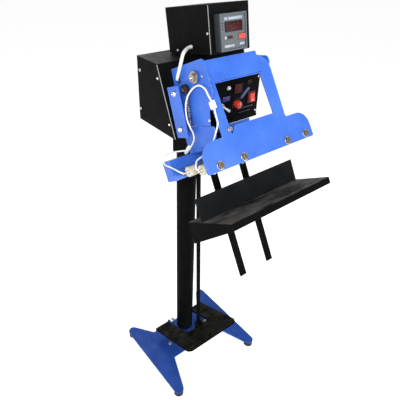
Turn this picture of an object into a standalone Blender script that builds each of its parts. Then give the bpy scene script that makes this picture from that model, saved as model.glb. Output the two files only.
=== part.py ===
"""Foot-operated heat sealer for bags, on a pedestal.

A pedal pulls a rod down the front of the column.  The rod turns a bell crank,
the crank draws a link, and the link swings the hinged front jaw against the
fixed rear jaw.  A bag hangs between the jaws and stands on the tray below.

Metres, +Z up, -Y towards the operator.  The origin is under the middle of the
machine, on the floor.
"""
import math

import bmesh
import bpy
from mathutils import Matrix, Vector

# ---------------------------------------------------------------- dimensions
NAME = "foot_pedal_heat_sealer"
GAP = 0.0003                    # left between solids that touch
COLUMN_Y = 0.1586               # from the origin back to the column's axis

# base
FOOT_EDGE_X = 0.235             # outer edge of each foot plate
FOOT_JOINT_X = 0.136            # where foot plate and crossbar meet
FOOT_TIP_R = 0.0215
FOOT_REAR_Y, FOOT_FRONT_Y = 0.142, -0.245          # centres of the tips
CROSSBAR_Y = (-0.103, 0.072)
BASE_Z = (0.022, 0.030)
PAD_R = 0.021
SOCKET_R, SOCKET_FLANGE_R, SOCKET_TOP = 0.050, 0.057, 0.070
COLUMN_R, COLUMN_WALL, COLUMN_TOP = 0.038, 0.003, 1.1962
CLAMP_SCREW_Z, CLAMP_SCREW_TURN = 0.057, 112.0     # height, degrees from +X

# pedal
PEDAL_HINGE = (0.040, 0.082)    # Y and Z of its axis
PEDAL_TILT = 24.0               # raised at the front
PEDAL_HALF, PEDAL_FRONT, PEDAL_THICK = 0.140, 0.285, 0.010
PEDAL_CUT_HALF, PEDAL_CUT_FRONT = 0.066, 0.160     # notch round the socket
PEDAL_SLEEVE_R, PEDAL_PIN_R = 0.0085, 0.005
CLEVIS_AT, CLEVIS_PIN_UP = 0.172, 0.025            # along and above the pedal
CLEVIS_EAR = (0.0115, 0.0155)                      # X of an ear's two faces
CLEVIS_PIN_R = 0.004

# rod and crank
ROD_R = 0.0085
CRANK_PIVOT = (-0.120, 1.125)
CRANK_ROD_END = (-0.067, 1.120)
CRANK_LINK_END = (-0.128, 1.160)
CRANK_HALF_THICK = 0.004
CRANK_PIN_R, SMALL_PIN_R, RUNNING = 0.006, 0.004, 0.0003
STRAP_X = (0.0045, 0.0105)      # a strap or link lies this far beside the crank
ROD_EYE_HALF, ROD_EYE_BORE_R, LINK_BORE_R = 0.011, 0.0070, 0.0060    # loose, for the swing

# head: d runs down the tilted head from the jaw's axis, n forwards
JAW_AXIS = (-0.215, 1.395)
HEAD_TILT = 30.0
JAW_OPEN = 5.9
SHEET = 0.004
BEAM_HALF, BEAM_N, BEAM_D = 0.215, (-0.180, -0.137), (0.200, 0.263)
REAR_PLATE_HALF, REAR_PLATE_D = 0.132, (0.149, 0.1997)
LINK_SLOT_HALF, LINK_SLOT_D = 0.020, (0.156, 0.192)
CHEEK_X = (-0.137, -0.133)
BAR_HALF, BAR_D = 0.184, (0.230, 0.2525)
REAR_CARRIER_N, REAR_BAR_N = (-0.1367, -0.0750), (-0.0747, -0.0520)
TERMINAL_R, TERMINAL_LENGTH, TERMINAL_BORE_R = 0.0145, 0.024, 0.006

# front jaw, in its closed position
PANEL_N = (0.0097, 0.0137)
PANEL_BOTTOM_D = 0.2606
PANEL_HALF, PANEL_HEIGHT, SHOULDER_R = 0.215, 0.084, 0.045
ARM_FOOT_X, ARM_TOP_X, ARM_TOP, ARM_TOP_R = (-0.129, 0.123), (-0.129, 0.131), 0.283, 0.045
WINDOW = ((-0.0955, 0.086, 0.001), (-0.0895, 0.086, 0.001), (-0.0770, 0.105, 0.006), (0.080, 0.105, 0.003),
          (0.080, 0.229, 0.006), (-0.094, 0.229, 0.003))    # notched at the lower left
CROSS_X, CROSS_H, CROSS_DEPTH = (-0.111, 0.083), (0.232, 0.293), 0.008
FRONT_CHANNEL_N, FRONT_BAR_N = (-0.0225, 0.0094), (-0.0445, -0.0228)
FRONT_CHANNEL_HALF, FRONT_CHANNEL_D = 0.192, (0.2266, 0.2546)
SHAFT_R, SHAFT_X = 0.0062, (-0.1500, 0.1440)
SLEEVE_R, SLEEVE_HALF = 0.0093, 0.1310
LUG_D, LUG_N = 0.200, -0.012    # the link's pin on the front jaw
LEVER_X = (-0.1413, -0.1376)
LEVER_END = (-0.048, 0.015)     # n and d, on the open jaw, of the spring's knob
KNOB_R, KNOB_X = 0.0135, (-0.157, -0.1416)

# return spring
SPRING_X, SPRING_R, SPRING_WIRE_R, SPRING_TURNS = -0.1475, 0.0058, 0.0010, 17
SPRING_TOP, SPRING_FOOT = (-0.050, 0.037), (-0.073, 0.114)
ANCHOR_AT = (-0.076, 0.1235)

# tray
GUIDE_X, GUIDE_HALF = (-0.058, 0.068), 0.013
GUIDE_N, GUIDE_D = (-0.1605, -0.1555), (0.2633, 0.645)
CLAMP_HALF, CLAMP_BOLT_X, CLAMP_BOLT_R = 0.094, (-0.0765, -0.0395, 0.0495, 0.0865), 0.0032
TRAY_HALF, TRAY_D = 0.208, 0.396
TRAY_N, TRAY_LIP, TRAY_GUSSET, TRAY_SHEET = (-0.149, 0.066), 0.021, 0.072, 0.0025
TRAY_BACK_N, TRAY_BACK_HEIGHT = -0.076, 0.072

# control box, and the case of the temperature controller on top of it
BOX_HALF, BOX_WALL = 0.170, 0.0015
FLOOR_HOLE_R, WIRE_HOLE_R = 0.028, 0.008
BOX_Z, BOX_BACK_Y, BOX_TOP_FRONT_Y, BOX_FOOT_FRONT_Y = (1.1965, 1.400), 0.033, -0.075, -0.168
PANEL_FACE_Y, PANEL_X, PANEL_Z = -0.165, (-0.080, 0.1695), (1.207, 1.340)
ROCKER_AT, KNOB_AT, TOGGLE_AT = (0.135, 1.269), (0.072, 1.258), (0.011, 1.262)   # X and Z
CASE_FRONT = (-0.2003, 1.4397)  # lower front edge
CASE_TILT, CASE_HALF, CASE_DEPTH, CASE_HEIGHT = 10.6, 0.0725, 0.2004, 0.1265
CONTROLLER_X, CONTROLLER_HALF, CONTROLLER_DEPTH, CONTROLLER_DROP = -0.0075, 0.048, 0.022, 0.010
BUTTON_AT, BUTTON_SIZE, BUTTON_POCKET = (0.031, -0.014), (0.026, 0.013), 0.004

BLUE = ("blue_paint", (0.075, 0.200, 0.720), 0.38, 0.0)
BLACK = ("black_paint", (0.014, 0.014, 0.014), 0.50, 0.0)
BLACK_PLASTIC = ("black_plastic", (0.020, 0.020, 0.020), 0.45, 0.0)
GREY_PLASTIC = ("grey_plastic", (0.150, 0.170, 0.200), 0.45, 0.0)
RED_PLASTIC = ("red_plastic", (0.700, 0.060, 0.030), 0.30, 0.0)
WHITE_PLASTIC = ("white_plastic", (0.800, 0.800, 0.760), 0.40, 0.0)
RUBBER = ("rubber", (0.012, 0.012, 0.012), 0.85, 0.0)
ZINC = ("zinc_steel", (0.600, 0.570, 0.500), 0.35, 1.0)
STEEL = ("steel", (0.420, 0.420, 0.430), 0.35, 1.0)
ALUMINIUM = ("aluminium", (0.720, 0.720, 0.730), 0.32, 1.0)
CERAMIC = ("ceramic", (0.780, 0.740, 0.620), 0.55, 0.0)
WIRE = ("lead_insulation", (0.850, 0.860, 0.860), 0.50, 0.0)


# ------------------------------------------------------------------- helpers
def empty_scene():
    for obj in list(bpy.data.objects):
        bpy.data.objects.remove(obj, do_unlink=True)


def new_collection(name):
    made = bpy.data.collections.new(name)
    bpy.context.scene.collection.children.link(made)
    return made


def material(finish):
    name, colour, roughness, metallic = finish
    made = bpy.data.materials.get(name)
    if made is None:
        made = bpy.data.materials.new(name)
        made.use_nodes = True
        shader = made.node_tree.nodes["Principled BSDF"]
        shader.inputs["Base Color"].default_value = (*colour, 1.0)
        shader.inputs["Roughness"].default_value = roughness
        shader.inputs["Metallic"].default_value = metallic
    return made


def guide(name, parent, at, tilt):
    """An empty at a joint, turned about X by -tilt degrees."""
    made = bpy.data.objects.new(name, None)
    PARTS.objects.link(made)
    made.parent = parent
    made.location = at
    made.rotation_euler = (-math.radians(tilt), 0.0, 0.0)
    return made


def place(obj, finish, parent, at=(0, 0, 0), turn=None):
    PARTS.objects.link(obj)
    obj.data.materials.append(material(finish))
    obj.parent = parent
    obj.location = at
    if turn is not None:
        obj.rotation_euler = turn.to_euler()
    return obj


def mesh_object(name, mesh_maker):
    mesh = bpy.data.meshes.new(name)
    shape = bmesh.new()
    mesh_maker(shape)
    shape.to_mesh(mesh)
    shape.free()
    return bpy.data.objects.new(name, mesh)


def box(name, low, high, finish, parent):
    size = [b - a for a, b in zip(low, high)]
    middle = [(a + b) / 2 for a, b in zip(low, high)]

    def make(shape):
        bmesh.ops.create_cube(shape, size=1.0)
        bmesh.ops.scale(shape, verts=shape.verts, vec=size)
    return place(mesh_object(name, make), finish, parent, middle)


def rod(name, start, end, radius, finish, parent, sides=24, end_radius=None):
    start, end = Vector(start), Vector(end)
    along = end - start

    def make(shape):
        bmesh.ops.create_cone(shape, cap_ends=True, segments=sides, radius1=radius,
                              radius2=radius if end_radius is None else end_radius, depth=along.length)
    made = place(mesh_object(name, make), finish, parent, (start + end) / 2,
                 along.to_track_quat("Z", "Y").to_matrix())
    made.data.shade_smooth()
    made.data.set_sharp_from_angle(angle=math.radians(35))
    return made


def turned(name, profile, finish, parent, at, turn=None, sides=40):
    """A closed profile of (radius, height) points turned about local Z."""
    mesh = bpy.data.meshes.new(name)
    count = len(profile)
    mesh.from_pydata([(r, 0.0, z) for r, z in profile], [(i, (i + 1) % count) for i in range(count)], [])
    made = place(bpy.data.objects.new(name, mesh), finish, parent, at, turn)
    screw = made.modifiers.new("turn", "SCREW")
    screw.steps = screw.render_steps = sides
    screw.use_merge_vertices = True
    screw.merge_threshold = 0.00001
    screw.use_smooth_shade = True
    return made


def ring(name, inner, outer, low, high, finish, parent, at, turn=None, sides=40):
    profile = [(outer, high), (outer, low), (inner, low), (inner, high)]
    return turned(name, profile, finish, parent, at, turn, sides)


def rounded(corners, steps=5):
    """Outline points of a polygon whose corners are (a, b) or (a, b, radius)."""
    points = []
    count = len(corners)
    for i, corner in enumerate(corners):
        here = Vector(corner[:2])
        radius = corner[2] if len(corner) > 2 else 0.0
        if radius == 0.0:
            points.append(here)
            continue
        before = (Vector(corners[i - 1][:2]) - here).normalized()
        after = (Vector(corners[(i + 1) % count][:2]) - here).normalized()
        half = before.angle(after) / 2
        centre = here + (before + after).normalized() * radius / math.sin(half)
        first = here + before * radius / math.tan(half) - centre
        turn = math.pi - 2 * half
        if before.cross(after) > 0:
            turn = -turn
        for k in range(steps + 1):
            swing = Matrix.Rotation(turn * k / steps, 2)
            points.append(centre + swing @ first)
    return points


def circle(centre, radius, sides=20):
    turns = [2 * math.pi * k / sides for k in range(sides)]
    return [Vector((centre[0] + radius * math.cos(t), centre[1] + radius * math.sin(t))) for t in turns]


FACING = {  # local X, Y and Z of a flat outline that faces along each axis
    "X": Matrix(((0, 0, 1), (1, 0, 0), (0, 1, 0))),
    "Y": Matrix(((1, 0, 0), (0, 0, -1), (0, 1, 0))),
    "Z": Matrix.Identity(3),
}


def plate(name, outlines, axis, low, high, finish, parent):
    """Outlines, the first the rim and the rest its holes, as thick as low to high along axis."""
    curve = bpy.data.curves.new(name, "CURVE")
    curve.dimensions = "2D"
    curve.fill_mode = "BOTH"
    curve.extrude = (high - low) / 2
    for outline in outlines:
        spline = curve.splines.new("POLY")
        spline.points.add(len(outline) - 1)
        for point, (a, b) in zip(spline.points, outline):
            point.co = (a, b, 0.0, 1.0)
        spline.use_cyclic_u = True
    at = [0.0, 0.0, 0.0]
    at["XYZ".index(axis)] = (low + high) / 2
    return place(bpy.data.objects.new(name, curve), finish, parent, at, FACING[axis])


def tube(name, points, radius, finish, parent, resolution=2):
    curve = bpy.data.curves.new(name, "CURVE")
    curve.dimensions = "3D"
    curve.bevel_depth = radius
    curve.bevel_resolution = resolution
    curve.use_fill_caps = True
    spline = curve.splines.new("POLY")
    spline.points.add(len(points) - 1)
    for point, place_at in zip(spline.points, points):
        point.co = (*place_at, 1.0)
    return place(bpy.data.objects.new(name, curve), finish, parent)


def smooth_route(stops, step):
    """Points every step along a Catmull-Rom curve through the stops."""
    stops = [Vector(s) for s in stops]
    padded = [2 * stops[0] - stops[1], *stops, 2 * stops[-1] - stops[-2]]
    points = [stops[0]]
    for a, b, c, d in zip(padded, padded[1:], padded[2:], padded[3:]):
        count = max(1, round((c - b).length / step))
        for k in range(1, count + 1):
            t = k / count
            points.append(0.5 * (2 * b + (c - a) * t + (2 * a - 5 * b + 4 * c - d) * t * t
                                 + (3 * b - 3 * c + d - a) * t ** 3))
    return points


def as_mesh(obj):
    """The evaluated object as a plain mesh object in its place."""
    bpy.context.view_layer.update()
    graph = bpy.context.evaluated_depsgraph_get()
    mesh = bpy.data.meshes.new_from_object(obj.evaluated_get(graph))
    shape = bmesh.new()
    shape.from_mesh(mesh)
    bmesh.ops.remove_doubles(shape, verts=shape.verts, dist=0.00001)
    shape.to_mesh(mesh)
    shape.free()
    name, parent, world = obj.name, obj.parent, obj.matrix_world.copy()
    bpy.data.objects.remove(obj)
    made = bpy.data.objects.new(name, mesh)
    PARTS.objects.link(made)
    made.parent = parent
    made.matrix_world = world
    return made


def combine(base, operation, *tools):
    """Join the tools to the base, or cut them from it."""
    base = as_mesh(base)
    for tool in tools:
        tool = as_mesh(tool)
        PARTS.objects.unlink(tool)
        CUTTERS.objects.link(tool)
        tool.hide_render = True
        tool.display_type = "WIRE"
        change = base.modifiers.new(operation.lower(), "BOOLEAN")
        change.operation = operation
        change.solver = "EXACT"
        change.object = tool
    return base


def head_to_stand(n, d):
    """Y and Z, in the stand's frame, of a point given along and down the tilted head."""
    tilt = math.radians(HEAD_TILT)
    y = JAW_AXIS[0] - d * math.sin(tilt) - n * math.cos(tilt)
    z = JAW_AXIS[1] - d * math.cos(tilt) + n * math.sin(tilt)
    return y, z


def box_front_y(z):
    """Y of the control box's slanted front at a height."""
    share = (BOX_Z[1] - z) / (BOX_Z[1] - BOX_Z[0])
    return BOX_TOP_FRONT_Y + share * (BOX_FOOT_FRONT_Y - BOX_TOP_FRONT_Y)


ALONG_X = FACING["X"]


# ---------------------------------------------------------------------- base
def foot_plate(name, side):
    def tip_corner(root_y, tip_y):
        """Where the slanted edge that is tangent to the round tip meets the outer edge."""
        run = FOOT_EDGE_X - FOOT_TIP_R - FOOT_JOINT_X - GAP
        rise = abs(tip_y - root_y)
        slope = math.atan2(rise, run) + math.asin(FOOT_TIP_R / math.hypot(run, rise))
        reach = (FOOT_EDGE_X - FOOT_JOINT_X - GAP) * math.tan(slope)
        return root_y + math.copysign(reach, tip_y - root_y)

    inner = FOOT_JOINT_X + GAP
    corners = [(side * inner, CROSSBAR_Y[0]),
               (side * FOOT_EDGE_X, tip_corner(CROSSBAR_Y[0], FOOT_FRONT_Y), FOOT_TIP_R),
               (side * FOOT_EDGE_X, tip_corner(CROSSBAR_Y[1], FOOT_REAR_Y), FOOT_TIP_R),
               (side * inner, CROSSBAR_Y[1])]
    plate(name, [rounded(corners, 8)], "Z", *BASE_Z, BLUE, STAND)


def rubber_foot(name, x, y):
    rod(name, (x, y, 0.0), (x, y, BASE_Z[0] - GAP), PAD_R, RUBBER, STAND, 28, PAD_R - 0.003)


def base():
    foot_plate("foot_plate_left", -1)
    foot_plate("foot_plate_right", 1)
    box("base_crossbar", (-FOOT_JOINT_X, CROSSBAR_Y[0], BASE_Z[0]),
        (FOOT_JOINT_X, CROSSBAR_Y[1], BASE_Z[1]), BLUE, STAND)
    centre_x = FOOT_EDGE_X - FOOT_TIP_R
    for end, y in (("front", FOOT_FRONT_Y), ("rear", FOOT_REAR_Y)):
        rubber_foot(f"rubber_foot_{end}_left", -centre_x, y)
        rubber_foot(f"rubber_foot_{end}_right", centre_x, y)
    bore, foot = COLUMN_R + GAP, BASE_Z[1] + GAP
    profile = [(SOCKET_R, SOCKET_TOP), (SOCKET_R, foot + 0.010), (SOCKET_FLANGE_R, foot + 0.008),
               (SOCKET_FLANGE_R, foot), (bore, foot), (bore, SOCKET_TOP)]
    turned("column_socket", profile, BLUE, STAND, (0, 0, 0), sides=48)
    ring("column", COLUMN_R - COLUMN_WALL, COLUMN_R, foot, COLUMN_TOP, BLACK, STAND, (0, 0, 0))
    turn = math.radians(CLAMP_SCREW_TURN)
    out = Vector((math.cos(turn), math.sin(turn), 0.0))
    root = out * (SOCKET_R + GAP) + Vector((0, 0, CLAMP_SCREW_Z))
    rod("socket_clamp_screw", root, root + out * 0.026, 0.006, ZINC, STAND, 12)


# --------------------------------------------------------------------- pedal
def pedal_pivot(name, side):
    y, z = PEDAL_HINGE
    lug_x = sorted((side * (PEDAL_CUT_HALF - 0.0075), side * (PEDAL_CUT_HALF - 0.0015)))
    outline = rounded([(y - 0.015, BASE_Z[1] + GAP), (y + 0.015, BASE_Z[1] + GAP),
                       (y + 0.013, z + 0.012, 0.010), (y - 0.013, z + 0.012, 0.010)])
    lug = plate(name, [outline], "X", *lug_x, BLUE, STAND)
    pin = rod(name + "_pin", (side * (PEDAL_CUT_HALF - 0.0045), y, z), (side * (PEDAL_HALF - 0.012), y, z),
              PEDAL_PIN_R, STEEL, STAND, 16)
    combine(lug, "UNION", pin)


def pedal():
    frame = guide("pedal_hinge", STAND, (0, *PEDAL_HINGE), PEDAL_TILT)
    rear = -(PEDAL_SLEEVE_R - 0.002)
    chamfer = 0.016
    cut = [(PEDAL_CUT_HALF, rear), (PEDAL_CUT_HALF, -PEDAL_CUT_FRONT + chamfer),
           (PEDAL_CUT_HALF - chamfer, -PEDAL_CUT_FRONT)]
    corners = [(-PEDAL_HALF, rear), (-PEDAL_HALF, -PEDAL_FRONT, 0.025), (PEDAL_HALF, -PEDAL_FRONT, 0.025),
               (PEDAL_HALF, rear), *cut, *[(-x, y) for x, y in reversed(cut)]]
    tread = plate("pedal_plate", [rounded(corners)], "Z", -PEDAL_THICK / 2, PEDAL_THICK / 2, BLACK, frame)
    sleeves = [ring(f"sleeve_{low}", PEDAL_PIN_R + RUNNING, PEDAL_SLEEVE_R, low, high, BLACK, frame,
                    (0, 0, 0), ALONG_X, 20)
               for low, high in ((-PEDAL_HALF, -PEDAL_CUT_HALF), (PEDAL_CUT_HALF, PEDAL_HALF))]
    combine(tread, "UNION", *sleeves)
    inner, outer = CLEVIS_EAR
    foot, top = PEDAL_THICK / 2 + GAP, PEDAL_THICK / 2 + 0.032
    corners = [(-outer, foot), (outer, foot), (outer, top, 0.001), (inner, top, 0.001), (inner, foot + 0.004),
               (-inner, foot + 0.004), (-inner, top, 0.001), (-outer, top, 0.001)]
    clevis = plate("pedal_clevis", [rounded(corners, 1)], "Y", -CLEVIS_AT - 0.010, -CLEVIS_AT + 0.010,
                   BLACK, frame)
    pin_at = Vector((0, -CLEVIS_AT, CLEVIS_PIN_UP))
    bore = rod("clevis_bore", pin_at - Vector((0.03, 0, 0)), pin_at + Vector((0.03, 0, 0)),
               CLEVIS_PIN_R + RUNNING, BLACK, frame, 16)
    combine(clevis, "DIFFERENCE", bore)
    head = outer + GAP
    profile = [(0.0, head + 0.009), (0.0075, head + 0.009), (0.0075, head), (CLEVIS_PIN_R, head),
               (CLEVIS_PIN_R, -head), (0.007, -head), (0.007, -head - 0.004), (0.0, -head - 0.004)]
    open_turned("clevis_pin", profile, ZINC, frame, pin_at, ALONG_X, 16)


def open_turned(name, profile, finish, parent, at, turn, sides):
    """A profile that starts and ends on the axis, top to bottom, turned about local Z."""
    mesh = bpy.data.meshes.new(name)
    mesh.from_pydata([(r, 0.0, z) for r, z in profile], [(i, i + 1) for i in range(len(profile) - 1)], [])
    made = place(bpy.data.objects.new(name, mesh), finish, parent, at, turn)
    screw = made.modifiers.new("turn", "SCREW")
    screw.steps = screw.render_steps = sides
    screw.use_merge_vertices = True
    screw.merge_threshold = 0.00001
    screw.use_smooth_shade = True
    return made


# ----------------------------------------------------------- rod, crank, link
def pedal_pin_in_stand():
    tilt = math.radians(PEDAL_TILT)
    y = PEDAL_HINGE[0] - CLEVIS_AT * math.cos(tilt) + CLEVIS_PIN_UP * math.sin(tilt)
    z = PEDAL_HINGE[1] + CLEVIS_AT * math.sin(tilt) + CLEVIS_PIN_UP * math.cos(tilt)
    return y, z


def strap(name, start, end, half, bores, thickness, finish, parent):
    """A flat bar with round ends in the YZ plane, with a bore at each end."""
    start, end = Vector(start), Vector(end)
    along = (end - start).normalized()
    across = Vector((-along.y, along.x)) * half
    low, high = start - along * half, end + along * half
    corners = [(*(low - across), half * 0.95), (*(high - across), half * 0.95),
               (*(high + across), half * 0.95), (*(low + across), half * 0.95)]
    holes = [circle(at, radius, 16) for at, radius in zip((start, end), bores) if radius > 0]
    return plate(name, [rounded(corners), *holes], "X", *thickness, finish, parent)


def pull_rod():
    bottom = Vector(pedal_pin_in_stand())
    top = Vector(CRANK_ROD_END)
    run = top - bottom
    lean = math.degrees(math.asin(run.x / run.length))
    frame = guide("rod_pivot", STAND, (0, *CRANK_ROD_END), lean)
    length = run.length
    shaft = rod("pull_rod", (0, 0, -0.035), (0, 0, -length + 0.032), ROD_R, BLACK, frame, 20)
    upper = strap("rod_upper_strap", (0, 0), (0, -0.050), 0.009, (SMALL_PIN_R + RUNNING, 0),
                  STRAP_X, BLACK, frame)
    lower = strap("rod_lower_strap", (0, -length), (0, -length + 0.045), ROD_EYE_HALF, (ROD_EYE_BORE_R, 0),
                  (-0.003, 0.003), BLACK, frame)
    combine(shaft, "UNION", upper, lower)


def bell_crank():
    frame = guide("crank_pivot", STAND, (0, *CRANK_PIVOT), 0.0)
    rod_end = Vector(CRANK_ROD_END) - Vector(CRANK_PIVOT)
    link_end = Vector(CRANK_LINK_END) - Vector(CRANK_PIVOT)
    corners = [(rod_end.x + 0.010, rod_end.y - 0.010, 0.009), (rod_end.x + 0.010, rod_end.y + 0.010, 0.009),
               (0.012, 0.012, 0.006), (link_end.x + 0.010, link_end.y + 0.010, 0.009),
               (link_end.x - 0.010, link_end.y + 0.010, 0.009), (-0.015, -0.015, 0.012)]
    arm = plate("bell_crank", [rounded(corners), circle((0, 0), CRANK_PIN_R + RUNNING)], "X",
                -CRANK_HALF_THICK, CRANK_HALF_THICK, STEEL, frame)
    reach = STRAP_X[1] + 0.003
    rod_pin = rod("crank_rod_pin", (0, *rod_end), (reach, *rod_end), SMALL_PIN_R, STEEL, frame, 16)
    link_pin = rod("crank_link_pin", (-reach, *link_end), (0, *link_end), SMALL_PIN_R, STEEL, frame, 16)
    combine(arm, "UNION", rod_pin, link_pin)
    rod("crank_pin", (-0.056, *CRANK_PIVOT), (0.056, *CRANK_PIVOT), CRANK_PIN_R, ZINC, STAND, 20)


def jaw_pin_in_stand():
    """Y and Z of the link's pin on the front jaw, with the jaw open."""
    tilt = math.radians(HEAD_TILT + JAW_OPEN)
    y = JAW_AXIS[0] - LUG_N * math.cos(tilt) - LUG_D * math.sin(tilt)
    z = JAW_AXIS[1] + LUG_N * math.sin(tilt) - LUG_D * math.cos(tilt)
    return y, z


def draw_link():
    frame = guide("link_pivot", STAND, (0, *CRANK_LINK_END), 0.0)
    reach = Vector(jaw_pin_in_stand()) - Vector(CRANK_LINK_END)
    strap("draw_link", (0, 0), reach, 0.009, (SMALL_PIN_R + RUNNING, LINK_BORE_R),
          (-STRAP_X[1], -STRAP_X[0]), STEEL, frame)


# ---------------------------------------------------------------- fixed head
def column_head_bracket():
    inner, outer = COLUMN_R + GAP, 0.0440
    low, high = 1.045, COLUMN_TOP - 0.012
    collar = ring("column_head_bracket", inner, outer, low, high, BLACK, STAND, (0, 0, 0))
    back = BEAM_N[0] - 2 * GAP
    corners = [(0.020, low), (0.020, high), head_to_stand(-0.1421, 0.160), head_to_stand(-0.1421, 0.1990),
               head_to_stand(back, 0.1990), head_to_stand(back, 0.250), (-0.020, low)]
    ears = []
    for side in (-1, 1):
        thick = sorted((side * (outer - 0.0015), side * (outer + 0.0045)))
        ears.append(plate(f"bracket_ear_{side}", [rounded(corners), circle(CRANK_PIVOT, CRANK_PIN_R + RUNNING)],
                          "X", *thick, BLACK, STAND))
    combine(collar, "UNION", *ears)


def rear_plate():
    low, high = -REAR_PLATE_D[1], -REAR_PLATE_D[0]
    rim = [(-REAR_PLATE_HALF, low), (REAR_PLATE_HALF, low), (REAR_PLATE_HALF, high), (-REAR_PLATE_HALF, high)]
    slot = [(-LINK_SLOT_HALF, -LINK_SLOT_D[1]), (LINK_SLOT_HALF, -LINK_SLOT_D[1]),
            (LINK_SLOT_HALF, -LINK_SLOT_D[0]), (-LINK_SLOT_HALF, -LINK_SLOT_D[0])]
    front = -BEAM_N[1] + GAP
    plate("rear_plate", [rim, slot], "Y", front, front + SHEET, BLUE, HEAD)


def open_box(name, low, high, open_side, wall, finish, parent, taper=None):
    """A box with one side left open and walls of one thickness inside it."""
    size = [b - a for a, b in zip(low, high)]
    middle = [(a + b) / 2 for a, b in zip(low, high)]
    away = Vector(open_side)

    def make(shape):
        bmesh.ops.create_cube(shape, size=1.0)
        bmesh.ops.scale(shape, verts=shape.verts, vec=size)
        if taper:
            taper(shape)
        shape.faces.ensure_lookup_table()
        gone = [f for f in shape.faces if f.normal.dot(away) > 0.9]
        bmesh.ops.delete(shape, geom=gone, context="FACES_ONLY")
    made = place(mesh_object(name, make), finish, parent, middle)
    shell = made.modifiers.new("wall", "SOLIDIFY")
    shell.thickness = wall
    shell.offset = -1.0
    shell.use_even_offset = True
    return made


def rear_jaw():
    open_box("rear_jaw_beam", (-BEAM_HALF, -BEAM_N[1], -BEAM_D[1]), (BEAM_HALF, -BEAM_N[0], -BEAM_D[0]),
             (0, 1, 0), SHEET, BLUE, HEAD)
    back, front = -REAR_CARRIER_N[0], -REAR_CARRIER_N[1]
    low, high = -BAR_D[1] - 0.003, -BAR_D[0] + 0.001
    wall = 0.003
    corners = [(front, low), (back, low), (back, low + wall), (front + wall, low + wall),
               (front + wall, high - wall), (back, high - wall), (back, high), (front, high)]
    plate("rear_jaw_carrier", [corners], "X", -BAR_HALF, BAR_HALF, STEEL, HEAD)
    box("rear_heater_bar", (-BAR_HALF, -REAR_BAR_N[1], -BAR_D[1]), (BAR_HALF, -REAR_BAR_N[0], -BAR_D[0]),
        ALUMINIUM, HEAD)
    terminal("rear_terminal", -BAR_HALF, (REAR_BAR_N[0] + REAR_BAR_N[1]) / 2, HEAD)


def terminal(name, x, n, parent):
    """A ceramic bush at the left end of a jaw, open at its outer end."""
    top = 0.0
    foot = -TERMINAL_LENGTH
    seat = foot + 0.014
    profile = [(0.0, top), (TERMINAL_R, top), (TERMINAL_R, foot), (TERMINAL_BORE_R, foot),
               (TERMINAL_BORE_R, seat), (0.0, seat)]
    at = (x - GAP, -n, -(BAR_D[0] + BAR_D[1]) / 2)
    open_turned(name, profile, CERAMIC, parent, at, ALONG_X, 24)


def left_cheek():
    corners = [(-0.136, -0.1995), (-0.060, -0.1995, 0.010), (-0.010, -0.182, 0.010), (0.002, -0.128, 0.006),
               (0.014, -0.097, 0.012), (0.052, -0.052, 0.020), (0.050, 0.036, 0.014), (-0.104, 0.050, 0.003),
               (-0.1365, -0.140)]
    outline = rounded([(-a, b, *r) for a, b, *r in corners])
    plate("left_cheek", [outline, circle((0, 0), SHAFT_R + RUNNING)], "X", *CHEEK_X, BLUE, HEAD)


def side_channel():
    """The bolted angle that carries the cheek's rear edge."""
    frame = guide("side_channel_frame", HEAD, (0, 0.0925, -0.0740), -9.0)
    web, lip, half, sheet = -0.167, CHEEK_X[0] - GAP, 0.029, 0.003
    corners = [(web, -half), (web, half, 0.004), (lip, half), (lip, half - sheet),
               (web + sheet, half - sheet, 0.001), (web + sheet, -half)]
    plate("side_channel", [rounded(corners)], "Z", -0.0735, 0.0735, BLUE, frame)


def right_pivot_bracket():
    x = (SLEEVE_HALF + 0.0015, SLEEVE_HALF + 0.0055)
    y, z = JAW_AXIS
    top, low = 1.386, 1.352
    root_top, root_low = (box_front_y(top) - GAP, top), (box_front_y(low) - GAP, low)
    corners = [root_low, root_top, (y - 0.002, z + 0.018, 0.014), (y - 0.018, z - 0.004, 0.012),
               (y + 0.004, z - 0.018, 0.012)]
    ear = plate("right_pivot_bracket", [rounded(corners), circle((y, z), SHAFT_R + RUNNING)], "X", *x,
                BLUE, STAND)
    slant = Vector(root_low) - Vector(root_top)
    out = Vector((slant.y, -slant.x)).normalized() * 0.004
    base = [Vector(root_top), Vector(root_low), Vector(root_low) + out, Vector(root_top) + out]
    foot = plate("pivot_bracket_foot", [base], "X", x[0] - 0.034, x[1], BLUE, STAND)
    combine(ear, "UNION", foot)


def spring_anchor():
    n, d = ANCHOR_AT
    profile = [(0.0, 0.0), (0.0050, 0.0), (0.0050, -0.0125), (0.0075, -0.0125), (0.0075, -0.0165), (0.0, -0.0165)]
    open_turned("spring_anchor", profile, ZINC, HEAD, (CHEEK_X[0] - GAP, -n, -d), ALONG_X, 16)


# ----------------------------------------------------------------- front jaw
def jaw_z(height):
    return height - PANEL_BOTTOM_D


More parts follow.
